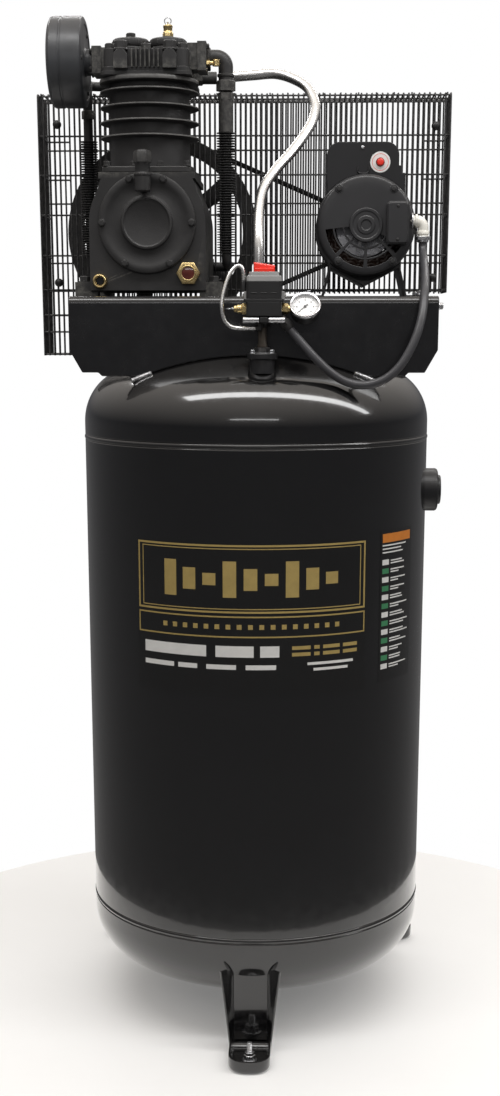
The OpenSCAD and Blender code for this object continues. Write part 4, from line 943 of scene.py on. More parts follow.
def make_cylinders():
    form = Form()
    fins = (1544, 1568, 1592, 1616.5)
    form.lathe(fin_profile(67, 82.5, fins, CASE_TOP, BLOCK_TOP), at(PUMP_X, LOW_Y, 0), Z, 96)
    form.lathe(fin_profile(40, 52, fins, CASE_TOP, BLOCK_TOP), at(PUMP_X, HIGH_Y, 0), Z, 72)
    form.lathe([(77, 0), (82.5, 2), (82.5, 8), (81.5, 9)], at(PUMP_X, LOW_Y, BLOCK_TOP - 9), Z, 96)
    for y, rim in ((LOW_Y, 82.5), (HIGH_Y, 52)):
        for z in fins:
            form.lathe([(rim - 0.3, z + 0.9), (rim + 0.12, z + 1.3), (rim + 0.12, z + 2.7),
                        (rim - 0.3, z + 3.1)],
                       at(PUMP_X, y, 0), Z, 96, mat=1)
    form.lathe([(82.3, 2.2), (82.6, 2.6), (82.6, 7.4), (82.3, 7.9)], at(PUMP_X, LOW_Y, BLOCK_TOP - 9), Z,
               96, mat=1)
    piece(form, "cylinder_barrels", "cast_paint", nodes=["cylinder_block"],
          mats=[MATS["cast_paint"], FIN_EDGE], angle=40)
    form = Form()
    plate(form, PUMP_X, -26, 152, 220, 16, CASE_TOP, CASE_TOP + 10)
    plate(form, PUMP_X, 28, 118, 120, 16, BLOCK_TOP - 9, BLOCK_TOP)
    piece(form, "cylinder_flanges", "cast_paint", bevel=1.6)
    form = Form()
    for x in (-66, -22, 22, 66):
        for y in (-128, 76):
            form.bolt(at(PUMP_X + x, y, CASE_TOP + 10), Z, 11, 6.5, turn=RANDOM.uniform(0, 1))
    piece(form, "cylinder_nuts", "zinc_steel", mats=[MATS["cast_paint"]], bevel=0.4)
    refined("valve_plate", 0.6, mats=[MATS["cast_paint"]])


def make_head():
    form = Form()
    plate(form, PUMP_X, HEAD_Y, 146, 218, 16, PLATE_TOP, PLATE_TOP + 7)
    plate(form, PUMP_X, HEAD_Y, 140, 212, 15, PLATE_TOP + 6, HEAD_LOW)
    for x in (CAP_L, CAP_R):
        form.lathe([(31.5, -20), (30.5, -14), (30.5, -2), (29, 0)], at(x, HEAD_Y, HEAD_TOP), Z, 64)
    form.bar((INTAKE_X + 14, HEAD_Y - 26, PLATE_TOP + 12), (PUMP_X - 60, HEAD_Y + 26, HEAD_TOP - 2))
    form.bar((INTAKE_X, HEAD_Y - 30, PLATE_TOP + 8), (INTAKE_X + 16, HEAD_Y + 30, HEAD_TOP))
    form.bar((PUMP_X + 60, LOW_Y - 22, PLATE_TOP + 8), (OUTLET_X - 14, LOW_Y + 22, HEAD_TOP - 2))
    form.bar((OUTLET_X - 15, LOW_Y - 26, PLATE_TOP + 6), (OUTLET_X, LOW_Y + 26, HEAD_TOP))
    for i in range(-3, 4):
        x = PUMP_X + 7.2 * i
        form.bar((x - 1.3, -140, PLATE_TOP + 5), (x + 1.3, -128, HEAD_LOW + 2 - 0.4 * i * i))
    for side in (-1, 1):
        for i in range(4):
            y = -100 + 40 * i
            form.bar((PUMP_X + side * 67, y - 1.5, PLATE_TOP + 8),
                     (PUMP_X + side * 72.5, y + 1.5, HEAD_LOW - 1))
    for x in (-40, 40):
        arch = []
        for a in range(0, 181, 15):
            c, s = polar(a)
            arch.append((PUMP_X + x + 11.5 * c, PLATE_TOP + 20 + 13 * s))
        arch = [(PUMP_X + x + 11.5, PLATE_TOP + 3)] + arch + [(PUMP_X + x - 11.5, PLATE_TOP + 3)]
        form.prism(arch, lambda p: at(p[0], -143, p[1]), Y * 20 * MM)
        form.lathe([(11.8, 0), (12.2, 1), (12.2, 3), (11, 4)], at(PUMP_X + x, -131, PLATE_TOP + 31), Z, 32)
        form.hexagon(at(PUMP_X + x, -131, PLATE_TOP + 34), Z, 19, 13, start=X)
    piece(form, "head_casting", "cast_paint", nodes=["cylinder_head"], bevel=2.0, segments=3)
    form = Form()
    for x in (CAP_L, CAP_R):
        form.lathe([(26, -6), (28.5, 0), (30.2, 0.6), (31, 2), (31, 9.5), (30.2, 12), (28, 13.6), (25, 14),
                    (20, 13.2),
                    (0, 13.2)], at(x, HEAD_Y, HEAD_TOP), Z, 64)
        for k in range(12):
            c, s = polar(30 * k)
            form.lathe([(2.0, 3), (2.0, 10), (1.4, 11)], at(x + 30.2 * c, HEAD_Y + 30.2 * s, HEAD_TOP), Z,
                       10)
    piece(form, "valve_cap_pair", "cast_paint", nodes=["valve_caps"], bevel=0.5)
    form = Form()
    form.bolt(at(CAP_L, HEAD_Y, CAP_TOP - 1), Z, 15, 9)
    for y in (-44, 44):
        for z in (PLATE_TOP + 16, HEAD_TOP - 8):
            form.bolt(at(OUTLET_X, LOW_Y + y * 0.44, z), X, 8, 4.5, washer=False)
            form.bolt(at(INTAKE_X, HEAD_Y + y * 0.5, z), -X, 8, 4.5, washer=False)
    piece(form, "head_screws", "zinc_steel", mats=[MATS["cast_paint"]], bevel=0.4)


def make_filter():
    form = Form()
    r = FILTER_RADIUS
    wide = FILTER_R - FILTER_L
    form.lathe([(0, 0), (58, 0.2), (66, 1.2), (r - 1.8, 4), (r, 7), (r, 21), (r - 1.1, 22), (r - 1.1, 24.5),
                (r, 25.5),
                (r, wide - 6), (r - 1.4, wide - 2.4), (r - 5, wide - 0.6), (r - 12, wide),
                (r - 14, wide - 1.4),
                (26, wide - 1.6), (23, wide - 1), (21, wide + 1.5), (21, INTAKE_X - FILTER_L)],
               at(FILTER_L, HEAD_Y, PORT_Z), X, 96)
    form.lathe([(24, 0), (24, 2.2), (22.6, 3)], at(INTAKE_X - 3, HEAD_Y, PORT_Z), X, 48)
    piece(form, "filter_drum", "cast_paint", nodes=["air_filter_housing"], mats=[FILTER_METAL], angle=30)
    form = Form()
    form.bolt(at(FILTER_L, HEAD_Y, PORT_Z), -X, 13, 3.6, washer=False)
    for a in (62, 180, 298):
        c, s = polar(a)
        p = at(FILTER_R - 1.6, HEAD_Y + 52 * c, PORT_Z + 52 * s)
        form.lathe([(3.6, 0), (3.6, 1.2), (2.6, 2.2), (0, 2.4)], p, X, 20)
    piece(form, "filter_screws", "zinc_steel", mats=[MATS["cast_paint"]], bevel=0.3)


def finned_run(form, start, axis, core, rim, length, pitch):
    profile = [(core, 0)]
    for i in range(int(length / pitch)):
        t = i * pitch + 1.5
        profile += [(core, t), (rim - 0.3, t + 0.3), (rim, t + 0.6), (rim, t + 1.0), (rim - 0.3, t + 1.3),
                    (core, t + 1.6)]
    form.lathe(profile + [(core, length)], start, axis, 40)


def make_intercooler():
    form = Form()
    form.sweep(rounded([at(OUTLET_X, LOW_Y, PORT_Z), at(-49, LOW_Y, PORT_Z), at(-49, LOW_Y, 1634)], 0.024,
                       12), 12.2, 28, up=Y)
    form.lathe([(14.5, 0), (15.5, 1), (15.5, 5), (13, 6)], at(OUTLET_X, LOW_Y, PORT_Z), X, 36)
    form.lathe([(13.4, 0), (14.4, 1), (14.4, 4), (13, 5)], at(-49, LOW_Y, 1644), Z, 36)
    form.hexagon(at(-49, LOW_Y, 1622), Z, 28, 17, start=X)
    form.hexagon(at(-49, LOW_Y, 1608), Z, 24, 12, start=X)
    form.lathe([(12.4, 0), (12.4, 54)], at(-49, LOW_Y, 1557), Z, 32)
    finned_run(form, at(-49, LOW_Y, 1360), Z, 8.2, 16, 200, 4.2)
    low = [at(-49, LOW_Y, 1362), at(-49, LOW_Y, 1345), at(-49, 100, 1345), at(-299, 100, 1345),
           at(-299, 68, 1345),
           at(-299, 68, 1655), at(-299, 104, 1655), at(PUMP_X - 52, 104, 1655), at(PUMP_X - 52, 83, 1655)]
    form.sweep(rounded(low, 0.014, 8), 8.0, 20, up=X)
    finned_run(form, at(-272, 100, 1345), X, 8.2, 14, 200, 4.2)
    finned_run(form, at(-299, 68, 1362), Z, 8.2, 16, 200, 4.2)
    form.hexagon(at(-299, 68, 1596), Z, 20, 14, start=X)
    form.hexagon(at(PUMP_X - 52, 100, 1655), -Y, 20, 12, start=X)
    form.hexagon(at(PUMP_X + 71, 40, 1659), X, 22, 12, start=Z)
    form.lathe([(10.3, 0), (10.3, 23), (9.6, 24)], at(PUMP_X + 83, 40, 1659), X, 32)
    piece(form, "intercooler_tubes", "frame_paint", nodes=["intercooler"], mats=[MATS["cast_paint"]],
          angle=40)
    form = Form()
    form.hexagon(at(-80, LOW_Y - 22, PORT_Z - 12), X, 9, 6, start=Z)
    form.lathe([(3.2, 0), (3.2, 14), (2.4, 15)], at(-74, LOW_Y - 22, PORT_Z - 12), X, 20)
    form.lathe([(6, 0), (6, 9), (4.5, 10)], at(-64, LOW_Y - 22, PORT_Z - 17), Z, 24)
    piece(form, "head_port_plug", "brass", bevel=0.4)


def make_safety_valve():
    form = Form()
    p = at(CAP_R, HEAD_Y, CAP_TOP - 1)
    form.lathe([(10.5, 0), (11.5, 0.8), (11.5, 4), (10, 5)], p, Z, 32, mat=1)
    form.hexagon(p + Z * 4.6 * MM, Z, 16, 7, start=X)
    form.lathe([(8.0, 11), (8.2, 12), (7.4, 13), (7.4, 18.4), (8.0, 19.4), (8.0, 22.4), (6.4, 23.8),
                (0, 24)], p, Z, 32)
    piece(form, "head_safety_valve", "brass", nodes=["interstage_valve_body"],
          mats=[MATS["brass"], MATS["cast_paint"]], bevel=0.4)
    form = Form()
    form.lathe([(1.6, 20), (1.6, 26), (2.4, 27), (2.4, 28), (0, 28.6)], p, Z, 16)
    form.torus(p + Z * 30 * MM, Y, 5.6, 0.9, 32, 10)
    piece(form, "head_safety_ring", "zinc_steel", body=BODY_OF["interstage_valve_ring"],
          nodes=["interstage_valve_ring"])


FILTER_METAL = surface("filter_enamel", (0.046, 0.048, 0.052), 0.36, reliefs=((500, 3e-5),),
                       mottle=(12, 0.15),
                       edge_wear_and_highlight=(STEEL_WEAR, 0.55, 0.3), dust=((0.11, 0.10, 0.09), 0.3))
make_crankcase()
make_cylinders()
make_head()
make_filter()
make_intercooler()
make_safety_valve()


# ---------------------------------------------------------------- flywheel and belt

BELT_Y, BELT_R, MOTOR_BELT_R = 160.0, 164.0, 22.0


def make_flywheel():
    centre = at(PUMP_X, BELT_Y, CRANK_Z)
    form = Form()
    form.lathe([(148, -13.4), (149.5, -15), (172.6, -15), (174, -13.8), (174, -6.6), (163.6, -4.4),
                (163.6, 4.4),
                (174, 6.6), (174, 13.8), (172.6, 15), (149.5, 15), (148, 13.4)], centre, Y, 128, loop=True)
    form.lathe([(15.2, -24), (16.4, -25), (32, -25), (34, -23), (34, 23), (32, 25), (16.4, 25), (15.2, 24)],
               centre, Y, 64, loop=True)
    for i in range(5):
        c, s = polar(72 * i + 36)
        out_way, side_way = Vector((c, 0, s)), Vector((-s, 0, c))
        rings = []
        for k in range(9):
            t = k / 8
            waist = math.sin(math.pi * t)
            reach, wide, deep = 28 + 124 * t, 20 - 5 * waist - 2 * t, 6.5 - 1.5 * waist
            mid = centre + out_way * reach * MM
            rings.append(form.ring([mid + (side_way * wide * math.cos(a) + Y * deep * math.sin(a)) * MM
                                    for a in (math.pi / 8 * j for j in range(16))]))
        form.skin(rings)
        form.face(rings[0])
        form.face(rings[-1])
    piece(form, "flywheel_casting", "cast_paint", body=BODY_OF["flywheel"], nodes=["flywheel"], angle=40)


def belt_route(t):
    """The belt's line round both pulleys, t millimetres out from its inside face."""
    apart = MOTOR_X - PUMP_X
    lean = math.degrees(math.acos((BELT_R - MOTOR_BELT_R) / apart))
    out = []
    for k in range(73):
        c, s = polar(lean + (360 - 2 * lean) * k / 72)
        out.append(at(PUMP_X + (BELT_R + t) * c, BELT_Y, CRANK_Z + (BELT_R + t) * s))
    for k in range(25):
        c, s = polar(-lean + 2 * lean * k / 24)
        out.append(at(MOTOR_X + (MOTOR_BELT_R + t) * c, BELT_Y, CRANK_Z + (MOTOR_BELT_R + t) * s))
    return out


def make_belt():
    form = Form()
    form.sweep(belt_route(4), 6, closed=True, up=Y,
               profile=[(-6, -3.6), (-5.6, -4), (5.6, -4), (6, -3.6), (6, -2.6), (4.3, 3.6), (3.9, 4),
                        (-3.9, 4),
                        (-4.3, 3.6), (-6, -2.6)])
    piece(form, "v_belt_loop", "belt_rubber", nodes=["v_belt"], angle=50)


def make_motor_pulley():
    form = Form()
    centre = at(MOTOR_X, BELT_Y, CRANK_Z)
    form.lathe([(11.1, -12), (12, -13), (30.8, -13), (32, -12), (32, -6.5), (21.6, -4.4), (21.6, 4.4),
                (32, 6.5),
                (32, 12), (30.8, 13), (12, 13), (11.1, 12)], centre, Y, 64, loop=True)
    form.hexagon(centre + Vector((0, 10, 31)) * MM, Z, 5, 1.6)
    piece(form, "motor_pulley_casting", "cast_paint", body=BODY_OF["motor_pulley"], nodes=["motor_pulley"],
          angle=40)


make_flywheel()
make_belt()
make_motor_pulley()


# ---------------------------------------------------------------- motor

MOTOR_FRONT = -60.0


def make_motor_shell():
    form = Form()
    centre = at(MOTOR_X, 0, CRANK_Z)
    form.lathe([(81.2, -59.5), (83.2, -60), (84, -59.2), (84, -50), (83.3, -49), (83.3, 78), (84, 79),
                (84, 89.2),
                (83.2, 90), (81.2, 89.5)], centre, Y, 128, loop=True)
    form.bar((MOTOR_X - 2, -40, CRANK_Z - 84.2), (MOTOR_X + 2, 70, CRANK_Z - 82.0))
    piece(form, "motor_shell", "frame_paint", nodes=["motor_frame"], angle=32)


def bell_face(form, centre, axis, windows):
    """The end wall of a motor bell as a thick skin, left open over its windows."""
    u = X
    v = axis.cross(u)
    if v.z < 0:
        v = -v
    radii = [12, 18, 24, 27, 36.5, 39.5, 46, 53.5, 56.5, 62, 68.5, 71.5, 74, 77, 79.5, 81.5, 83, 84]
    def height(r):
        return 20.0 if r < 68 else 20.0 - 0.5 * ((r - 68) / 6) ** 2 if r < 77 else \
            18.9 - 13.0 * (1 - math.sqrt(max(0.0, 1 - ((r - 77) / 7) ** 2)))
    steps = 120
    angles = [3 * k for k in range(steps)]

    def shell(offset):
        rings = []
        for r in radii:
            h = height(r) - offset
            rr = min(r, 84 - offset * 0.75)
            ring = []
            for a in angles:
                c, s = polar(a)
                ring.append(form.bm.verts.new(centre + (u * rr * c + v * rr * s + axis * h) * MM))
            rings.append(ring)
        return rings

    def open_cell(i, k):
        middle_r = (radii[i] + radii[i + 1]) / 2
        a = angles[k] + 1.5
        return any(r0 < middle_r < r1 and a0 < a < a1 for r0, r1, a0, a1 in windows)

    outer, inner = shell(0), shell(4)
    for i in range(len(radii) - 1):
        for k in range(steps):
            m = (k + 1) % steps
            if open_cell(i, k):
                continue
            form.face((outer[i][k], outer[i][m], outer[i + 1][m], outer[i + 1][k]))
            form.face((inner[i][m], inner[i][k], inner[i + 1][k], inner[i + 1][m]))
            for edge, far in (((i, k, i, m), i == 0 or open_cell(i - 1, k)),
                              ((i + 1, k, i + 1, m), i == len(radii) - 2 or open_cell(i + 1, k)),
                              ((i, k, i + 1, k), open_cell(i, (k - 1) % steps)),
                              ((i, m, i + 1, m), open_cell(i, m))):
                if far:
                    a, b, c, d = edge
                    form.face((outer[a][b], outer[c][d], inner[c][d], inner[a][b]))


def make_bells():
    windows = [(r0, r1, a0, a1) for r0, r1 in ((27, 36.5), (39.5, 53.5), (56.5, 68.5))
               for a0, a1 in ((186, 222), (228, 267), (273, 312), (318, 330))]
    form = Form()
    centre = at(MOTOR_X, MOTOR_FRONT, CRANK_Z)
    bell_face(form, centre, -Y, windows)
    form.lathe([(80, 0.5), (84, 0.5), (84, 5.2), (83.6, 6.0), (80, 6.0)], centre, -Y, 120, loop=True)
    form.lathe([(24, 16), (28.4, 16), (28.4, 24.6), (27.4, 26), (23, 26), (22, 25), (15.5, 25), (14.6, 26),
                (9, 26.2),
                (8, 24.6), (0, 24.6)], centre, -Y, 64)
    for a in (52, 128, 232, 308):
        c, s = polar(a)
        form.lathe([(7.5, 14), (7.5, 19.5), (6.6, 20.4), (0, 20.4)],
                   centre + Vector((74.5 * c, 0, 74.5 * s)) * MM, -Y, 28)
    piece(form, "front_bell", "frame_paint", nodes=["motor_front_bell"], mats=[BELL_PAINT], bevel=0.7,
          angle=40)
    form = Form()
    for a in (52, 128, 232, 308):
        c, s = polar(a)
        form.bolt(centre + Vector((74.5 * c, -20.2, 74.5 * s)) * MM, -Y, 8, 3.4, washer=False)
    piece(form, "bell_screws", "zinc_steel", mats=[MATS["cast_paint"]], bevel=0.2)
    refined("motor_rear_bell", 1.2)


def make_windings():
    form = Form()
    for y0, way in ((-46, -1), (76, 1)):
        for layer, (r, small) in enumerate(((58.5, 5.0), (65.0, 5.4), (70.5, 4.4))):
            base = at(MOTOR_X, y0 - way * 6, CRANK_Z)
            route = []
            for k in range(144):
                c, s = polar(2.5 * k)
                swell = 1 + 0.035 * math.sin(math.radians(2.5 * k * 24 + 40 * layer))
                route.append(base + Vector((r * swell * c,
                                            way * (1.5 * math.sin(math.radians(2.5 * k * 12))),
                                            r * swell * s)) * MM)
            form.sweep(route, small, 12, closed=True, up=Y)
    for k in range(24):
        c, s = polar(15 * k + 7)
        c2, s2 = polar(15 * k + 10)
        for y0, y1 in ((-31, -44), (60, 74)):
            form.sweep([at(MOTOR_X + 60 * c, y0, CRANK_Z + 60 * s),
                        at(MOTOR_X + 64 * c2, y1, CRANK_Z + 64 * s2)], 4, 8)
    form.lathe([(50, -30), (81, -30), (81, 60), (50, 60)], at(MOTOR_X, 0, CRANK_Z), Y, 96, mat=1, loop=True)
    piece(form, "stator_and_windings", SLOT_OF["motor_stator"], nodes=["motor_stator"],
          mats=[VARNISH, DARK_CORE], angle=50)


def make_motor_trim():
    form = Form()
    form.prism(round_rect(MOTOR_X + 53, CRANK_Z + 3, 38, 70, 7), lambda p: at(p[0], -80.2, p[1]),
               -Y * 13.2 * MM)
    form.prism(round_rect(MOTOR_X + 53, CRANK_Z + 3, 34, 66, 6), lambda p: at(p[0], -92, p[1]), -Y * 4 * MM)
    piece(form, "side_cover", "frame_paint", nodes=["motor_side_cover"], mats=[BELL_PAINT], bevel=1.6,
          segments=3)
    form = Form()
    for z in (CRANK_Z + 30, CRANK_Z - 24):
        form.lathe([(2.8, 0), (2.8, 0.8), (2.0, 1.6), (0, 1.8)], at(MOTOR_X + 53, -95.6, z), -Y, 20, mat=1)
    form.lathe([(3.0, 0), (3.0, 0.9), (2.2, 1.8), (0, 2.0)], at(MOTOR_X - 7, -62, 1533), -Y, 20)
    piece(form, "motor_cover_screws", "zinc_steel", mats=[MATS["zinc_steel"], MATS["cast_paint"]],
          bevel=0.2)
    refined("motor_switch_box", 3.0, segments=4, angle=60)
    form = Form()
    left, right, low, high = MOTOR_X - 15, MOTOR_X + 4, CRANK_Z + 85, CRANK_Z + 96
    slot = [at(x, -62.4, z) for x, z in ((left, high), (left, low), (right, low), (right, high))]
    form.sweep(rounded(slot, 0.005, 8), 1.5, 10)
    piece(form, "box_embossing", "frame_paint", angle=60)
    form = Form()
    form.lathe([(7.2, 0), (17, 0), (17, 0.7), (16.6, 1.0), (7.6, 1.0), (7.2, 0.7)], at(211, -62, 1509), -Y,
               48, loop=True)
    form.lathe([(13.2, 0.9), (13.8, 0.9), (13.8, 1.15), (13.2, 1.15)], at(211, -62, 1509), -Y, 48, mat=1,
               loop=True)
    piece(form, "reset_disc", "white_plastic", mats=[MATS["white_plastic"], MATS["red_plastic"]])
    form = Form()
    form.lathe([(9, 7), (9, 5.2), (6, 5), (6, -4.6), (5.2, -5.7), (3.4, -6), (0, -5.6)], at(211, -62, 1509),
               Y, 40)
    piece(form, "reset_button_cap", "red_plastic", body=BODY_OF["motor_reset_button"],
          nodes=["motor_reset_button"],
          angle=50)
    refined("motor_cradle", 1.4, segments=3)


make_motor_shell()
make_bells()
make_windings()
make_motor_trim()


# ---------------------------------------------------------------- pressure switch, gauge and small valves

SWITCH_X, SWITCH_Y, BOX_W, BOX_D = 20.0, -235.0, 57.0, 53.0
PORT_ROW, RELIEF_X, LEVER_Z = 1266.7, 20.0 - 57.0 / 2, 1324.0
GAUGE_AT = at(86, -236, 1272)
TILT_C, TILT_S = polar(38)
GAUGE_UP, GAUGE_OUT = Vector((0, TILT_S, TILT_C)), Vector((0, -TILT_C, TILT_S))


def make_riser():
    form = Form()
    x, y = 17.0, -232.0
    low = dome_height(x, y + 22) - 4
    form.lathe([(20, low - 12), (20.5, low + 14), (19, low + 20), (17, low + 22)], at(x, y, 0), Z, 48)
    form.lathe([(24, 1187), (25, 1188), (25, 1195), (24, 1196.2), (15, 1196.4)], at(x, y, 0), Z, 56)
    form.hexagon(at(x, y, 1196), Z, 22, 10, start=X)
    form.lathe([(8.4, 1206), (8.4, 1210), (7, 1212), (7, 1256)], at(x, y, 0), Z, 32, mat=1)
    for k in range(7):
        form.lathe([(7.0, 1243 + 1.8 * k), (7.5, 1243.6 + 1.8 * k), (7.0, 1244.4 + 1.8 * k)], at(x, y, 0),
                   Z, 32, mat=1)
    piece(form, "riser_and_flange", SLOT_OF["riser_pipe"], nodes=["riser_pipe"], 
          mats=[MATS["frame_paint"], RUSTY_PIPE], angle=35)
    form = Form()
    for a in (35, 145, 215, 325):
        c, s = polar(a)
        form.bolt(at(x + 19 * c, y + 19 * s, 1195.6), Z, 7.5, 4.5)
    piece(form, "riser_bolts", "zinc_steel", bevel=0.3)


def make_switch():
    form = Form()
    form.prism(round_rect(SWITCH_X, SWITCH_Y, BOX_W, BOX_D, 4), lambda p: at(p[0], p[1], 1255.5),
               Z * 21.5 * MM)
    form.hexagon(at(SWITCH_X - 3, SWITCH_Y + 3, 1238), Z, 21, 17.6, start=X)
    for x0, x1 in ((SWITCH_X - 34, SWITCH_X - 7), (SWITCH_X + 7, SWITCH_X + 34)):
        form.lathe([(3.8, 0), (4.8, 1), (4.8, x1 - x0 - 1), (3.8, x1 - x0)], at(x0, SWITCH_Y - 21.5, 1249),
                   X, 24, mat=1)
    form.hexagon(at(SWITCH_X - 6.5, SWITCH_Y - 21.5, 1249), X, 12, 13, start=Z)
    form.hexagon(at(-13.5, -235, 1293), Z, 9, 17, start=X)
    form.lathe([(3.2, 0), (3.2, 6)], at(-14.5, -235, 1297), X, 16)
    form.hexagon(at(6, -247, 1236), X, 9, 10, start=Z)
    form.lathe([(4, 0), (4, 20)], at(14, -247, 1236), Z, 16)
    piece(form, "switch_manifold", SLOT_OF["control_manifold"], nodes=["control_manifold"],
          mats=[MATS["black_plastic"], MATS["chrome"]], bevel=1.0)
    form = Form()
    form.prism(round_rect(SWITCH_X, SWITCH_Y, BOX_W + 8, BOX_D, 4), lambda p: at(p[0], p[1], 1277),
               Z * 5 * MM, 1)
    for side in (-1, 1):
        x = SWITCH_X + side * (BOX_W / 2 + 1.4)
        form.bar((x - 2.6, SWITCH_Y - 12, 1276), (x + 2.6, SWITCH_Y + 12, 1294))
        form.lathe([(3.2, 0), (3.2, 2), (2.2, 3), (0, 3)], at(x + side * 2.4, SWITCH_Y, 1288), X * side, 20)
    piece(form, "switch_base", SLOT_OF["pressure_switch_base"], nodes=["pressure_switch_base"],
          mats=[LIGHT_GREY, MATS["black_plastic"]], bevel=0.8)
    form = Form()
    form.prism(round_rect(SWITCH_X, SWITCH_Y, BOX_W, BOX_D, 5), lambda p: at(p[0], p[1], 1282),
               Z * 27.5 * MM)
    form.prism(round_rect(SWITCH_X, SWITCH_Y, BOX_W - 1, BOX_D - 1, 5), lambda p: at(p[0], p[1], 1309),
               Z * 8.6 * MM, 1)
    form.prism(round_rect(SWITCH_X, SWITCH_Y, BOX_W - 9, BOX_D - 10, 4), lambda p: at(p[0], p[1], 1317),
               Z * 7 * MM, 1)
    for x in (-16, 0, 16):
        form.bar((SWITCH_X + x - 5, SWITCH_Y - BOX_D / 2 - 0.8, 1290),
                 (SWITCH_X + x + 5, SWITCH_Y - BOX_D / 2 + 1, 1292))
    piece(form, "switch_cover", SLOT_OF["pressure_switch_cover"], nodes=["pressure_switch_cover"],
          mats=[MATS["black_plastic"], LIGHT_GREY], bevel=2.0, segments=4)
    form = Form()
    base = at(SWITCH_X, SWITCH_Y, LEVER_Z)
    form.lathe([(5, -5), (5, 1)], base, Z, 28)
    form.prism(round_rect(0, 0, 34, 15, 6), lambda p: base + Vector((p[0], p[1], 0.4)) * MM, Z * 5.6 * MM)
    rings = []
    for k in range(11):
        x = -17 + 3.4 * k
        high = 15.8 - 5.0 * k / 10
        half = 4.6 - 0.8 * k / 10
        rings.append(form.ring([base + Vector((x, half * sy, z)) * MM
                                for sy, z in ((-1, 5), (-0.92, high - 2), (-0.6, high - 0.5), (0, high),
                                              (0.6, high - 0.5), (0.92, high - 2), (1, 5))]))
    form.skin(rings)
    form.face(rings[0])
    form.face(rings[-1])
    piece(form, "auto_off_knob", "red_plastic", body=BODY_OF["auto_off_lever"], nodes=["auto_off_lever"],
          bevel=1.0,
          segments=3)


def gauge_point(x, y, z):
    return GAUGE_AT + (X * x + GAUGE_UP * y + GAUGE_OUT * z) * MM


def make_gauge():
    form = Form()
    form.lathe([(10, -20), (21, -20), (23.4, -18.5), (24, -16), (24, -2), (22.4, -2), (22.4, -5), (0, -5)],
               GAUGE_AT, GAUGE_OUT, 64)
    form.lathe([(22.4, -3), (25.2, -3), (26, -2.2), (26, 0.5), (25.4, 2.2), (24.2, 3.0), (22.2, 2.8),
                (21.4, 1.7)],
               GAUGE_AT, GAUGE_OUT, 72, mat=1, loop=True)
    form.lathe([(6, 0), (6, 23)], at(38, SWITCH_Y, PORT_ROW), X, 28, mat=2)
    form.hexagon(at(50, SWITCH_Y, PORT_ROW), X, 15, 9, mat=2, start=Z)
    form.lathe([(5, 0), (5, 1), (4.4, 1.6), (0, 1.6)], gauge_point(0, 0, -21.4), -GAUGE_OUT, 24, mat=1)
    piece(form, "gauge_body", SLOT_OF["gauge_case"], nodes=["gauge_case"],
          mats=[MATS["black_plastic"], MATS["chrome"], MATS["brass"]], bevel=0.3, angle=38)
    form = Form()
    form.lathe([(22.2, -4.4), (22.2, -3.4), (0, -3.4)], GAUGE_AT, GAUGE_OUT, 64)
    def tick(a, r0, r1, wide, mat):
        c, s = polar(a)
        along, across = X * c + GAUGE_UP * s, GAUGE_UP * c - X * s
        corners = [GAUGE_AT + (along * r + across * w) * MM + GAUGE_OUT * -3.38 * MM
                   for r, w in ((r0, -wide), (r1, -wide), (r1, wide), (r0, wide))]
        form.prism(corners, lambda p: p, GAUGE_OUT * 0.12 * MM, mat)
    for k in range(31):
        tick(225 - 9 * k, 18.2 if k % 5 else 16.4, 20.4, 0.22 if k % 5 else 0.42, 1)
    for k in range(7):
        tick(225 - 45 * k, 12.6, 14.4, 1.1, 1)
    for k in range(12):
        tick(-10 - 3 * k, 20.6, 21.6, 0.6, 2)
    piece(form, "gauge_face", "white_plastic", nodes=["gauge_dial"],
          mats=[DIAL_WHITE, DIAL_INK_AND_SHADE, MATS["red_plastic"]], angle=30)
    form = Form()
    form.lathe([(1.2, -6), (1.2, -2.9), (2.4, -2.8), (2.4, -1.8), (1.2, -1.4), (0, -1.4)], GAUGE_AT,
               GAUGE_OUT, 24)
    c, s = polar(225)
    along, across = X * c + GAUGE_UP * s, GAUGE_UP * c - X * s
    blade = [GAUGE_AT + (along * r + across * w) * MM + GAUGE_OUT * -2.6 * MM
             for r, w in ((-6, -0.9), (-5, -1.1), (0, -0.7), (17, -0.18), (17, 0.18), (0, 0.7), (-5, 1.1),
                          (-6, 0.9))]
    form.prism(blade, lambda p: p, GAUGE_OUT * 0.6 * MM)
    piece(form, "gauge_pointer", "black_plastic", body=BODY_OF["gauge_needle"], nodes=["gauge_needle"],
          angle=40)
    form = Form()
    form.lathe([(22.6, 1.0), (22.6, 1.6), (16, 2.1), (8, 2.4), (0, 2.5)], GAUGE_AT, GAUGE_OUT, 64)
    piece(form, "gauge_glass", "clear_glass", nodes=["gauge_lens"], angle=60)


def make_relief_valve():
    form = Form()
    p = at(RELIEF_X, SWITCH_Y, PORT_ROW)
    form.lathe([(6, 10), (6, -6)], p, X, 28)
    form.hexagon(p, -X, 15, 8, start=Z)
    form.lathe([(6.6, 7.8), (7.2, 8.6), (7.2, 14.6), (6.4, 15.6), (5.4, 16), (5.4, 20), (4.4, 21),
                (2.4, 21)], p, -X, 32)
    # six dark dots round the body: painted shade standing for the valve's vent holes
    for a in range(0, 360, 60):
        c, s = polar(a)
        form.lathe([(1.1, 0), (1.1, 0.5), (0, 0.6)], p + Vector((-11.5, 7.0 * c, 7.0 * s)) * MM,
                   Vector((0, c, s)), 12,
                   mat=1)
    piece(form, "relief_valve", "brass", nodes=["relief_valve_body"], mats=[MATS["brass"], DIAL_INK_AND_SHADE],
          bevel=0.4)
    form = Form()
    form.lathe([(1.8, 12), (1.8, 22.4), (2.6, 22.8), (2.6, 23.8), (0, 24.2)], p, -X, 16)
    form.torus(p - X * 28.2 * MM, Z, 5, 0.9, 32, 10)
    piece(form, "relief_pull_ring", "zinc_steel", body=BODY_OF["relief_valve_ring"],
          nodes=["relief_valve_ring"])


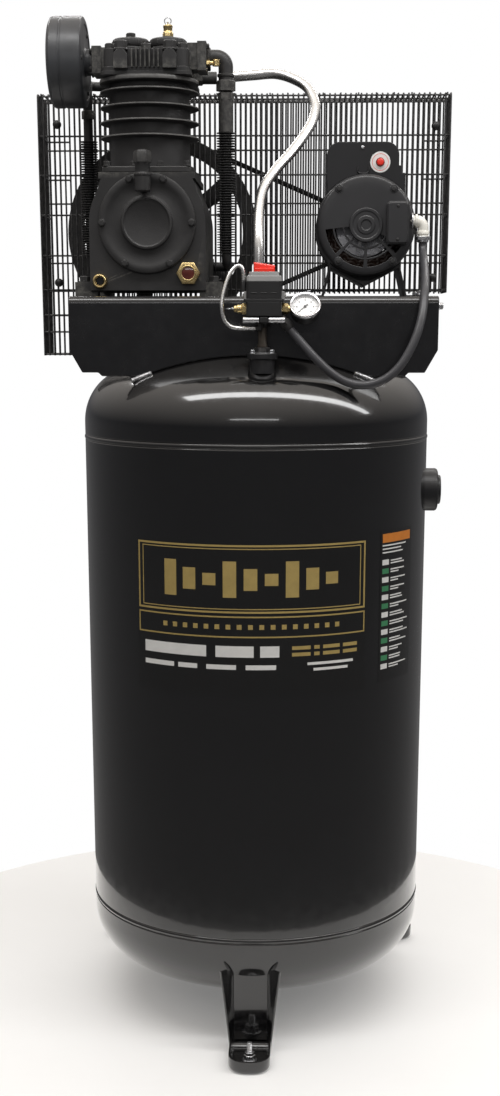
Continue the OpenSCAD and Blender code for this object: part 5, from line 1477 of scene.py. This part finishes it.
def make_tubes():
    form = Form()
    route = [(-62, 40, 1659), (-39, 39, 1661), (-5, 36, 1663), (31, 30, 1664), (61, 20, 1655),
             (87, 5, 1638),
             (100, -15, 1611), (100, -28, 1593), (94, -42, 1573), (79, -60, 1548), (60, -80, 1522),
             (40, -100, 1499),
             (21, -125, 1472), (13, -142, 1452), (10, -158, 1432), (9, -176, 1408), (9.5, -190, 1385),
             (10, -197, 1361), (10, -198, 1320), (10, -198, 1292)]
    form.sweep(smooth_route([at(*p) for p in route], 8), 8.7, 28, up=Y)
    piece(form, "discharge_pipe", SLOT_OF["discharge_tube"], nodes=["discharge_tube"], angle=60)
    form = Form()
    for p, axis in ((at(-64, 40, 1659), X),):
        form.hexagon(p, axis, 23, 13, start=Z)
        form.lathe([(9.0, 12), (10.6, 13), (10.2, 17), (9.0, 19)], p, axis, 32)
    form.hexagon(at(10, -198, 1262), Z, 20.6, 22, start=X)
    form.hexagon(at(10, -198, 1285), Z, 20.6, 14, start=X)
    form.lathe([(9.4, 14), (10.3, 15), (10.0, 18), (9.0, 20)], at(10, -198, 1285), Z, 32)
    form.lathe([(8, 0), (8, 8)], at(10, -198, 1256), Z, 28)
    form.lathe([(6, 0), (6, 11)], at(10, -209, 1270), Y, 24)
    piece(form, "check_valve_brass", "brass", nodes=["check_valve"], bevel=0.5)
    form = Form()
    route = [(6, -247, 1236), (-4, -247, 1236), (-18, -248, 1236), (-34, -250, 1239), (-44.5, -252, 1251),
             (-48, -252, 1272), (-44, -248, 1296), (-36, -242, 1320), (-28, -237, 1331), (-21, -235, 1334),
             (-15.5, -235, 1330), (-13.5, -235, 1320), (-13.5, -235, 1311)]
    form.sweep(smooth_route([at(*p) for p in route], 8), 3.2, 16, up=Y)
    piece(form, "unloader_line", SLOT_OF["unloader_tube"], nodes=["unloader_tube"], angle=60)


make_riser()
make_switch()
make_gauge()
make_relief_valve()
make_tubes()


# ---------------------------------------------------------------- fasteners

def make_bolts():
    form = Form()
    for x in (-109, 109):
        for y in (-115, 55):
            form.bolt(at(PUMP_X + x, y, 1312), Z, 16, 8, mat=1, turn=RANDOM.uniform(0, 1))
    for x in (-96, 96):
        for y in (-40, 70):
            form.bolt(at(MOTOR_X + x, y, 1292), Z, 10, 6, turn=RANDOM.uniform(0, 1))
    for a in (0, 68, 112, 180, 240, 300):
        c, s = polar(a)
        form.bolt(at(PUMP_X + 74.5 * c, CASE_FRONT - 8, CRANK_Z + 74.5 * s), -Y, 10, 5, mat=1,
                  turn=RANDOM.uniform(0, 1))
    for x in (-60, 0, 60):
        for y in (-116, 66):
            form.bolt(at(PUMP_X + x, y, HEAD_LOW - 0.4), Z, 14, 8, mat=1, turn=RANDOM.uniform(0, 1))
    form.bolt(at(306, -167, 1272), X, 10, 6)
    foot = at(0, -350, 4)
    form.lathe([(13, 0), (13, 1.8), (12.4, 2.2)], foot, Z, 40)
    form.hexagon(foot + Z * 2.2 * MM, Z, 17, 8.4, start=X)
    form.hexagon(foot + Z * 10.8 * MM, Z, 16, 5.2, start=X)
    threads = [(4.4, 10)]
    for k in range(12):
        threads += [(4.9, 12 + 1.6 * k), (4.2, 12.8 + 1.6 * k)]
    form.lathe(threads + [(4.8, 31.5), (4.0, 33), (0, 33)], foot, Z, 28)
    piece(form, "bolts_and_stud", SLOT_OF["hex_bolts"], nodes=["hex_bolts"],
          mats=[MATS["zinc_steel"], MATS["cast_paint"]], bevel=0.5)


def make_drain_cock():
    refined("drain_valve_body", 0.6)
    refined("drain_valve_knob", 0.8)


make_bolts()
make_drain_cock()


# ---------------------------------------------------------------- CAD pieces that stay as they are

def finish_leftovers():
    """Inner pieces keep their CAD shape and get their finish."""
    for node in ("crankshaft", "shaft_bearings", "pistons", "connecting_rods", "motor_rotor",
                 "air_filter_element"):
        refined(node, 0.5, segments=1)


finish_leftovers()


# ---------------------------------------------------------------- floor, backdrop and light

def make_floor():
    """A round pale studio floor that glows a little."""
    mat = surface("pale_floor", (0.78, 0.78, 0.775), 0.55, reliefs=((60, 5e-5),), mottle=(2.5, 0.015))
    shader = mat.node_tree.nodes["Principled BSDF"]
    shader.inputs["Emission Color"].default_value = (1, 1, 0.99, 1)
    shader.inputs["Emission Strength"].default_value = 0.15
    form = Form()
    middle = at(0, 0, -0.4)
    rings = [form.ring([middle])]
    for r in (0.3, 0.5, 0.7, 0.85):
        rings.append(form.ring([middle + Vector((math.cos(a), math.sin(a), 0)) * r
                                for a in (2 * math.pi * k / 96 for k in range(96))]))
    form.skin(rings)
    bmesh.ops.recalc_face_normals(form.bm, faces=form.bm.faces)
    mesh = bpy.data.meshes.new("floor_disc")
    form.bm.to_mesh(mesh)
    form.bm.free()
    mesh.materials.append(mat)
    floor = bpy.data.objects.new("floor_disc", mesh)
    SCENE.collection.objects.link(floor)


def area(name, place, aim, size, power, mirrored=True):
    data = bpy.data.lights.new(name, "AREA")
    data.shape = "RECTANGLE"
    data.size, data.size_y = size
    data.energy = power
    lamp = bpy.data.objects.new(name, data)
    lamp.location = place
    lamp.rotation_euler = (Vector(aim) - Vector(place)).to_track_quat("-Z", "Y").to_euler()
    lamp.visible_glossy = mirrored
    SCENE.collection.objects.link(lamp)


def make_world():
    """A white backdrop for the camera, and a dim room with a bright warm ceiling for reflections and fill."""
    world = bpy.data.worlds.new("studio")
    SCENE.world = world
    world.use_nodes = True
    nt = world.node_tree
    back = nt.nodes["Background"]
    coord = nt.nodes.new("ShaderNodeTexCoord").outputs["Generated"]
    split = nt.nodes.new("ShaderNodeSeparateXYZ")
    nt.links.new(coord, split.inputs[0])
    low = blend_colour(nt, remap(nt, split.outputs["Z"], -0.5, 0.05, 0, 1), (0.17, 0.165, 0.16),
                       (0.09, 0.09, 0.095))
    room = blend_colour(nt, remap(nt, split.outputs["Z"], 0.05, 0.85, 0, 1), low, (0.92, 0.86, 0.80))
    path = nt.nodes.new("ShaderNodeLightPath")
    nt.links.new(blend_colour(nt, path.outputs["Is Camera Ray"], room, (1.0, 1.0, 1.0)),
                 back.inputs["Color"])
    back.inputs["Strength"].default_value = 1.0


make_floor()
make_world()
area("ceiling_tube", (2.25, -0.92, 3.05), (2.25, -0.62, 0), (7.5, 0.42), 85)
area("rear_tube", (0.0, 1.7, 3.05), (0, 0.3, 0.9), (3.8, 0.12), 24)
area("front_tube", (0.05, -3.4, 2.15), (0, 0, 1.1), (1.9, 0.14), 4)
area("front_fill", (0.3, -4.5, 3.2), (0.1, 0, 1.3), (4.0, 2.0), 16, mirrored=False)
SCENE.view_settings.view_transform = "Standard"
